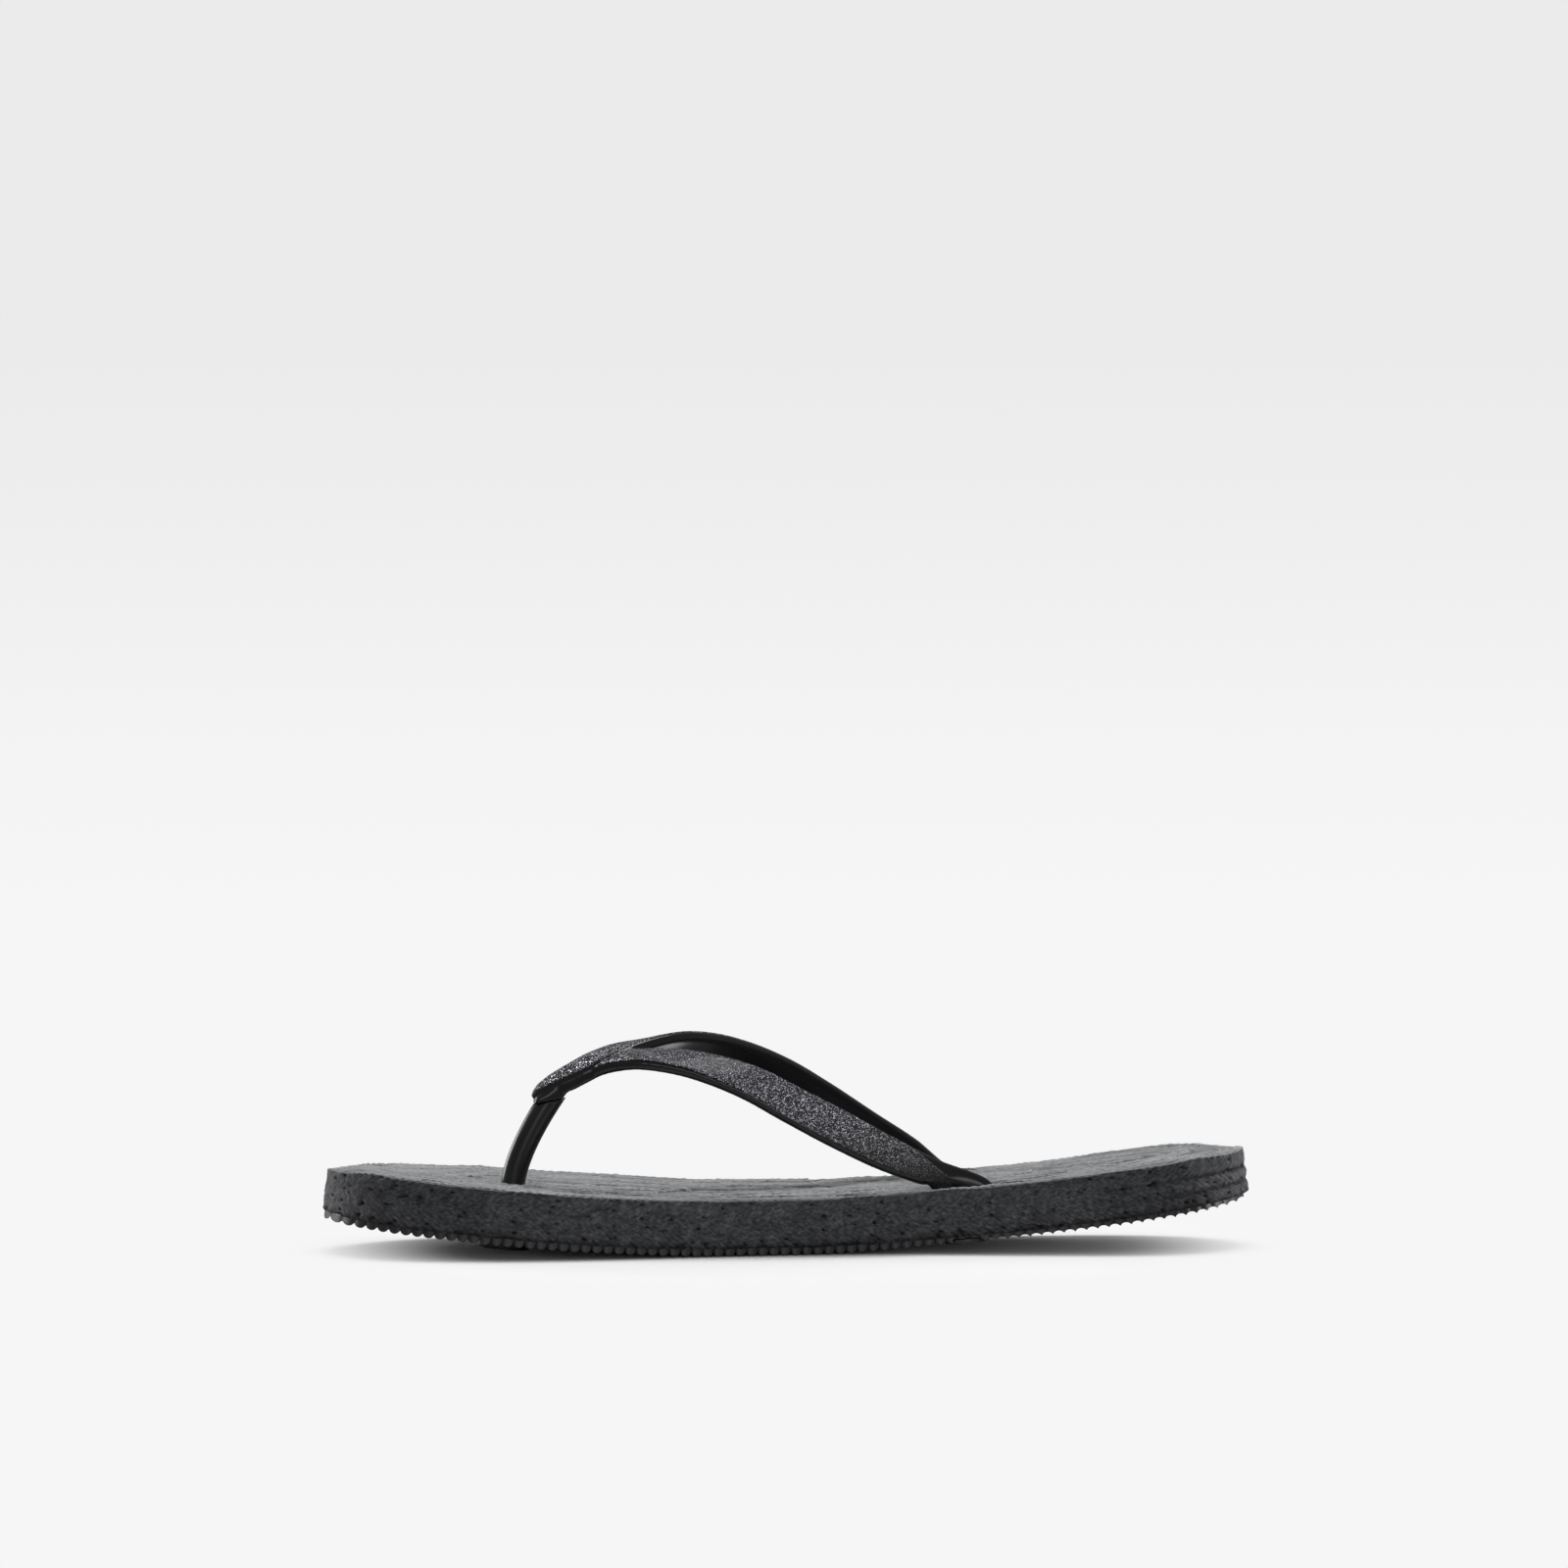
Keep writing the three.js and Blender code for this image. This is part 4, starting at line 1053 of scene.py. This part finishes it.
def arm_surface(frames, u, depth):
    """Places on an arm: u runs from the outer edge (0) to the inner edge (1), and depth is
    measured down from the upper face. Between the edges the face rises by a parabola."""
    inner, outer, face, arch = frames
    u = u[..., None]
    bulge = 4 * arch[:, None, None] * u * (1 - u)
    return outer[:, None] + (inner - outer)[:, None] * u + face[:, None] * (bulge - depth[..., None])


def arm_skin(frames, body):
    """The body of an arm: a flat bar with round edges whose section is a superellipse. body is
    its thickness at each step."""
    angle = np.linspace(0, 2 * math.pi, 44, endpoint=False)
    wide = np.sign(np.cos(angle)) * np.abs(np.cos(angle)) ** 0.3
    thick = np.sign(np.sin(angle)) * np.abs(np.sin(angle)) ** 0.55
    depth = (1 - thick[None, :]) / 2 * body[:, None]
    return swept(arm_surface(frames, np.repeat((wide[None, :] + 1) / 2, len(body), axis=0), depth))


def facing_skin(frames, rim_width, kept, narrowing, tip):
    """The glitter layer on an arm: a thin sheet a rim's width inside the face's edges, with a
    soft edge. narrowing draws it back from the inner edge at the footbed, and tip from both
    edges at its front end."""
    inner, outer = frames[:2]
    margin = rim_width / np.linalg.norm(inner - outer, axis=1)
    low = margin * (1 + tip)
    high = mix(1 - margin * (1 + tip), 0.3, narrowing)
    share = np.linspace(0, 1, 27)
    edge = np.clip(np.minimum(share, 1 - share) * 12, 0, 1)
    lift = np.repeat(FACING_LIFT * np.sqrt(edge)[None, :], len(inner), axis=0)
    u = mix(low[:, None], high[:, None], share[None, :])
    top = arm_surface(frames, u, -lift)[kept]
    under = arm_surface(frames, u[:, ::-3], np.full((len(inner), 9), 0.5))[kept]
    return swept(np.concatenate([top, under], axis=1))


def seat_pad(seat):
    """The pad below the front of the strap that rests on the post: a round-cornered block with
    a sloping underside."""
    width = POST_DIAMETER / 2 + 0.4
    # Sections from side to side of the pad, and how far each is tucked in for round corners.
    across = np.array([-1, -0.94, -0.75, 0.75, 0.94, 1])
    tuck = np.array([0.9, 0.35, 0, 0, 0.35, 0.9])
    rings = []
    for share, inset_x in zip(across, tuck):
        x = np.array([-4.7 + inset_x, 3.6 - inset_x, 5.6 - inset_x, 3.0, -3.6 + inset_x])
        z = np.array([0, 0, 2.4, 3.6, 1.8]) + 0.1 + x * SEAT_SLOPE
        rings.append(np.stack([seat[0] + x, np.full(5, seat[1] + share * width), seat[2] + z], axis=1))
    return swept(np.array(rings))


def strap_pieces(settings, seat):
    """The strap: both arms and the pad fused into one moulding, and the glitter layer on it.
    The lateral arm starts as the arched front over the post; the medial arm's steeper face
    comes out of its side, and the crease between them runs back to the parting. Stations count
    the rows of the edges; the glitter narrows near the footbed and ends just below it."""
    inner, outer, face, station = arm_frames(LATERAL_EDGES, 1, SLOT_LATERAL)
    front = np.arange(len(FRONT_ARCH))
    lateral = (inner, outer, face, np.interp(station, front, FRONT_ARCH))
    lateral_body = np.interp(station, front, FRONT_BODY)
    foot = len(LATERAL_EDGES)
    lateral_end = smoothstep(foot - 1.8, foot + 0.2, station)
    lateral_kept = (station > 0.15) & (station < foot + 0.1)
    lateral_tip = 1 - smoothstep(0.15, 1.2, station)
    inner, outer, face, station = arm_frames(MEDIAL_EDGES, -1, SLOT_MEDIAL)
    medial = (inner, outer, face, np.full(len(station), ARM_CROWN))
    medial_body = np.full(len(station), STRAP_THICKNESS)
    foot = len(MEDIAL_EDGES)
    medial_end = smoothstep(foot - 1.6, foot + 0.2, station)
    medial_kept = (station > 0.8) & (station < foot + 0.1)
    gloss = glossy_pvc("polished_strap_pvc", linear("#0e0e0f"), linear("#060607"), 0.14)
    body = new_piece("strap_moulding", [
        arm_skin(medial, medial_body),
        arm_skin(lateral, lateral_body),
        seat_pad(seat),
    ], gloss)
    fuse = body.modifiers.new("fuse", "REMESH")
    fuse.mode = "VOXEL"
    fuse.voxel_size = 0.00045
    fuse.use_smooth_shade = True
    soften = body.modifiers.new("soften", "SMOOTH")
    soften.factor = 0.5
    soften.iterations = 3
    stand_in(body, "thong_strap")
    rim_width = settings.rim_width * MM
    layers = [
        facing_skin(medial, rim_width, medial_kept, medial_end, np.zeros(len(medial_end))),
        facing_skin(lateral, rim_width, lateral_kept, lateral_end, lateral_tip),
    ]
    facing = new_piece("glitter_layer", layers, glitter_coat(settings))
    stand_in(facing, "glitter_facing")


# ---- stage ------------------------------------------------------------------


def studio_floor(settings):
    """A white sweep: matt near the object so that it takes its soft shadow, and evenly lit
    further away. The glow starts 90 mm from the middle, under the toe and the heel, so there
    painted light lightens the sole's shadow."""
    material, tree = new_material("white_paper_sweep")
    place = add_node(tree, "ShaderNodeTexCoord").outputs["Object"]
    distance = add_node(tree, "ShaderNodeVectorMath", {0: place}, operation="LENGTH")
    # Painted light: the glow takes over between 90 and 145 mm from the middle, under the sole's toe and
    # heel, and lightens their shadow.
    far = add_node(
        tree,
        "ShaderNodeMapRange",
        {0: distance.outputs["Value"]},
        interpolation_type="SMOOTHSTEP",
        From_Min=0.09,
        From_Max=0.145,
    )
    matt = add_node(tree, "ShaderNodeBsdfDiffuse", Color=(0.95, 0.95, 0.95, 1.0))
    backdrop = tuple(settings.backdrop_colour) + (1.0,)
    glow = add_node(tree, "ShaderNodeEmission", Color=backdrop, Strength=1.0)
    # The camera sees the glow fade a little up the backdrop; the object gets a weaker one.
    fading = ranged(tree, part(tree, place, 2), 0.0, 0.2, 1.0, 0.9)
    seen = add_node(tree, "ShaderNodeLightPath").outputs["Is Camera Ray"]
    strength = add_node(tree, "ShaderNodeMapRange", {0: seen, 4: fading}, To_Min=0.35)
    tree.links.new(strength.outputs[0], glow.inputs["Strength"])
    sources = {0: far.outputs[0], 1: matt.outputs[0], 2: glow.outputs[0]}
    both = add_node(tree, "ShaderNodeMixShader", sources)
    finish_material(tree, both)
    return material


def soft_light(name, place, size, power):
    """A rectangular soft light in metres and watts that looks at the object."""
    light = bpy.data.lights.new(name, "AREA")
    light.shape = "RECTANGLE"
    light.size, light.size_y = size
    light.energy = power
    lamp = bpy.data.objects.new(name, light)
    lamp.location = place
    lamp.rotation_euler = (-Vector(place)).to_track_quat("-Z", "Y").to_euler()
    bpy.context.scene.collection.objects.link(lamp)


def stage_pieces(settings):
    """Floor with a curved backdrop, pale surroundings, soft lights above and on three sides,
    and the camera."""
    bend_start = 1.5
    radius = 0.8
    profile = [(-2.2, 0.0), (bend_start, 0.0)]
    bend = np.radians(np.linspace(0, 90, 24))
    profile += [(bend_start + radius * math.sin(a), radius - radius * math.cos(a)) for a in bend[1:]]
    profile += [(bend_start + radius, 3.0)]
    profile = np.array(profile)
    columns = np.linspace(-2.5, 2.5, 3)
    grid = np.stack(
        [
            np.repeat(columns[None, :], len(profile), axis=0),
            np.repeat(profile[:, :1], 3, axis=1),
            np.repeat(profile[:, 1:], 3, axis=1),
        ],
        axis=-1,
    )
    mesh = bpy.data.meshes.new("paper_sweep")
    mesh.from_pydata(grid.reshape(-1, 3).tolist(), [], grid_faces(len(profile), 3)[:, ::-1].tolist())
    mesh.materials.append(studio_floor(settings))
    mesh.polygons.foreach_set("use_smooth", np.full(len(mesh.polygons), True))
    sweep = bpy.data.objects.new("paper_sweep", mesh)
    sweep.location.z = -0.0001
    bpy.context.scene.collection.objects.link(sweep)
    world = bpy.data.worlds.new("pale_surroundings")
    world.use_nodes = True
    world.node_tree.nodes["Background"].inputs[0].default_value = (1.0, 1.0, 1.0, 1.0)
    world.node_tree.nodes["Background"].inputs[1].default_value = 0.4
    bpy.context.scene.world = world
    power = settings.softbox_power
    soft_light("softbox_above", (0.0, 0.3, 1.45), (1.0, 0.6), power)
    soft_light("softbox_toe", (-1.1, 0.85, 0.3), (0.6, 0.4), 0.45 * power)
    soft_light("softbox_heel", (1.4, 0.2, 0.3), (0.7, 0.4), 0.6 * power)
    soft_light("softbox_front", (0.0, -1.8, 0.3), (1.2, 0.3), 0.3 * power)
    lens = bpy.data.cameras.new("camera")
    lens.sensor_width = 36
    lens.lens = 329.5
    camera = bpy.data.objects.new("camera", lens)
    elevation = math.radians(4.5)
    yaw = math.radians(3.5)
    distance = 4.0
    aim = Vector((0.0, 0.0, 0.0268))
    level = math.cos(elevation)
    back = Vector((-math.sin(yaw) * level, -math.cos(yaw) * level, math.sin(elevation)))
    camera.location = aim + back * distance
    camera.rotation_euler = (-back).to_track_quat("-Z", "Y").to_euler()
    lens.shift_y = 0.2335
    bpy.context.scene.collection.objects.link(camera)
    bpy.context.scene.camera = camera
    bpy.context.scene.view_settings.view_transform = "Standard"


# ---- add-on -----------------------------------------------------------------


def colour_setting(name, description, code):
    """A colour that the panel shows."""
    return FloatVectorProperty(
        name=name,
        description=description,
        subtype="COLOR",
        size=3,
        min=0,
        max=1,
        default=linear(code)[:3],
    )


def length_setting(name, description, default, low, high):
    """A length in metres that the panel shows."""
    return FloatProperty(
        name=name,
        description=description,
        default=default,
        min=low,
        max=high,
        unit="LENGTH",
        precision=5,
    )


class FlipFlopSettings(bpy.types.PropertyGroup):
    """What a user would change about the flip flop's looks."""

    braid_colour: colour_setting("Braid", "Colour of the dyed plait", "#333437")
    glitter_colour: colour_setting("Glitter ground", "Colour of the layer between the flakes", "#252429")
    backdrop_colour: colour_setting("Backdrop", "Colour of the sweep away from the object", "#f6f6f6")
    softbox_power: FloatProperty(
        name="Softbox",
        description="Power of the light above, which the others follow",
        default=12.3,
        min=0.0,
        unit="POWER",
    )
    yarn_relief: length_setting("Yarn relief", "How far the braid's yarns stand out", 0.00026, 0.0, 0.001)
    rib_height: length_setting("Rib height", "Height of the ribs under the sole", 0.0016, 0.0002, 0.0018)
    rim_width: length_setting("Rim width", "Width of the bare rim beside the glitter", 0.00065, 0.0, 0.002)


class FLIPFLOP_OT_braid(bpy.types.Operator):
    """Build the coiled braid"""

    bl_idname = "flipflop.braid"
    bl_label = "Braid"

    def execute(self, context):
        coil_pieces(context.scene.flip_flop)
        thread = waxed_thread()
        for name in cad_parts:
            if name.startswith("transverse_stitch"):
                dress(name, thread)
        return {"FINISHED"}


class FLIPFLOP_OT_outsole(bpy.types.Operator):
    """Build the rubber outsole and the plug discs in it"""

    bl_idname = "flipflop.outsole"
    bl_label = "Outsole"

    def execute(self, context):
        outsole_piece(context.scene.flip_flop.rib_height * MM)
        disc_pieces()
        return {"FINISHED"}


class FLIPFLOP_OT_strap(bpy.types.Operator):
    """Build the toe post, the strap and its glitter layer"""

    bl_idname = "flipflop.strap"
    bl_label = "Strap"

    def execute(self, context):
        seat = post_piece()
        strap_pieces(context.scene.flip_flop, seat)
        return {"FINISHED"}


class FLIPFLOP_OT_stage(bpy.types.Operator):
    """Set up the floor, the light and the camera"""

    bl_idname = "flipflop.stage"
    bl_label = "Stage"

    def execute(self, context):
        stage_pieces(context.scene.flip_flop)
        return {"FINISHED"}


class FLIPFLOP_PT_panel(bpy.types.Panel):
    """Settings and build buttons"""

    bl_idname = "FLIPFLOP_PT_panel"
    bl_label = "Flip flop"
    bl_space_type = "VIEW_3D"
    bl_region_type = "UI"
    bl_category = "Flip flop"

    def draw(self, context):
        settings = context.scene.flip_flop
        for name in settings.__annotations__:
            self.layout.prop(settings, name)
        for operator in ("braid", "outsole", "strap", "stage"):
            self.layout.operator("flipflop." + operator)


CLASSES = (
    FlipFlopSettings,
    FLIPFLOP_OT_braid,
    FLIPFLOP_OT_outsole,
    FLIPFLOP_OT_strap,
    FLIPFLOP_OT_stage,
    FLIPFLOP_PT_panel,
)


def register():
    """Adds the add-on's classes and the scene's settings."""
    for item in CLASSES:
        bpy.utils.register_class(item)
    bpy.types.Scene.flip_flop = PointerProperty(type=FlipFlopSettings)


def unregister():
    """Takes them away again."""
    del bpy.types.Scene.flip_flop
    for item in reversed(CLASSES):
        bpy.utils.unregister_class(item)


def main():
    """Builds every piece and the stage."""
    register()
    bpy.ops.flipflop.braid()
    bpy.ops.flipflop.outsole()
    bpy.ops.flipflop.strap()
    bpy.ops.flipflop.stage()


if __name__ == "__main__":
    main()
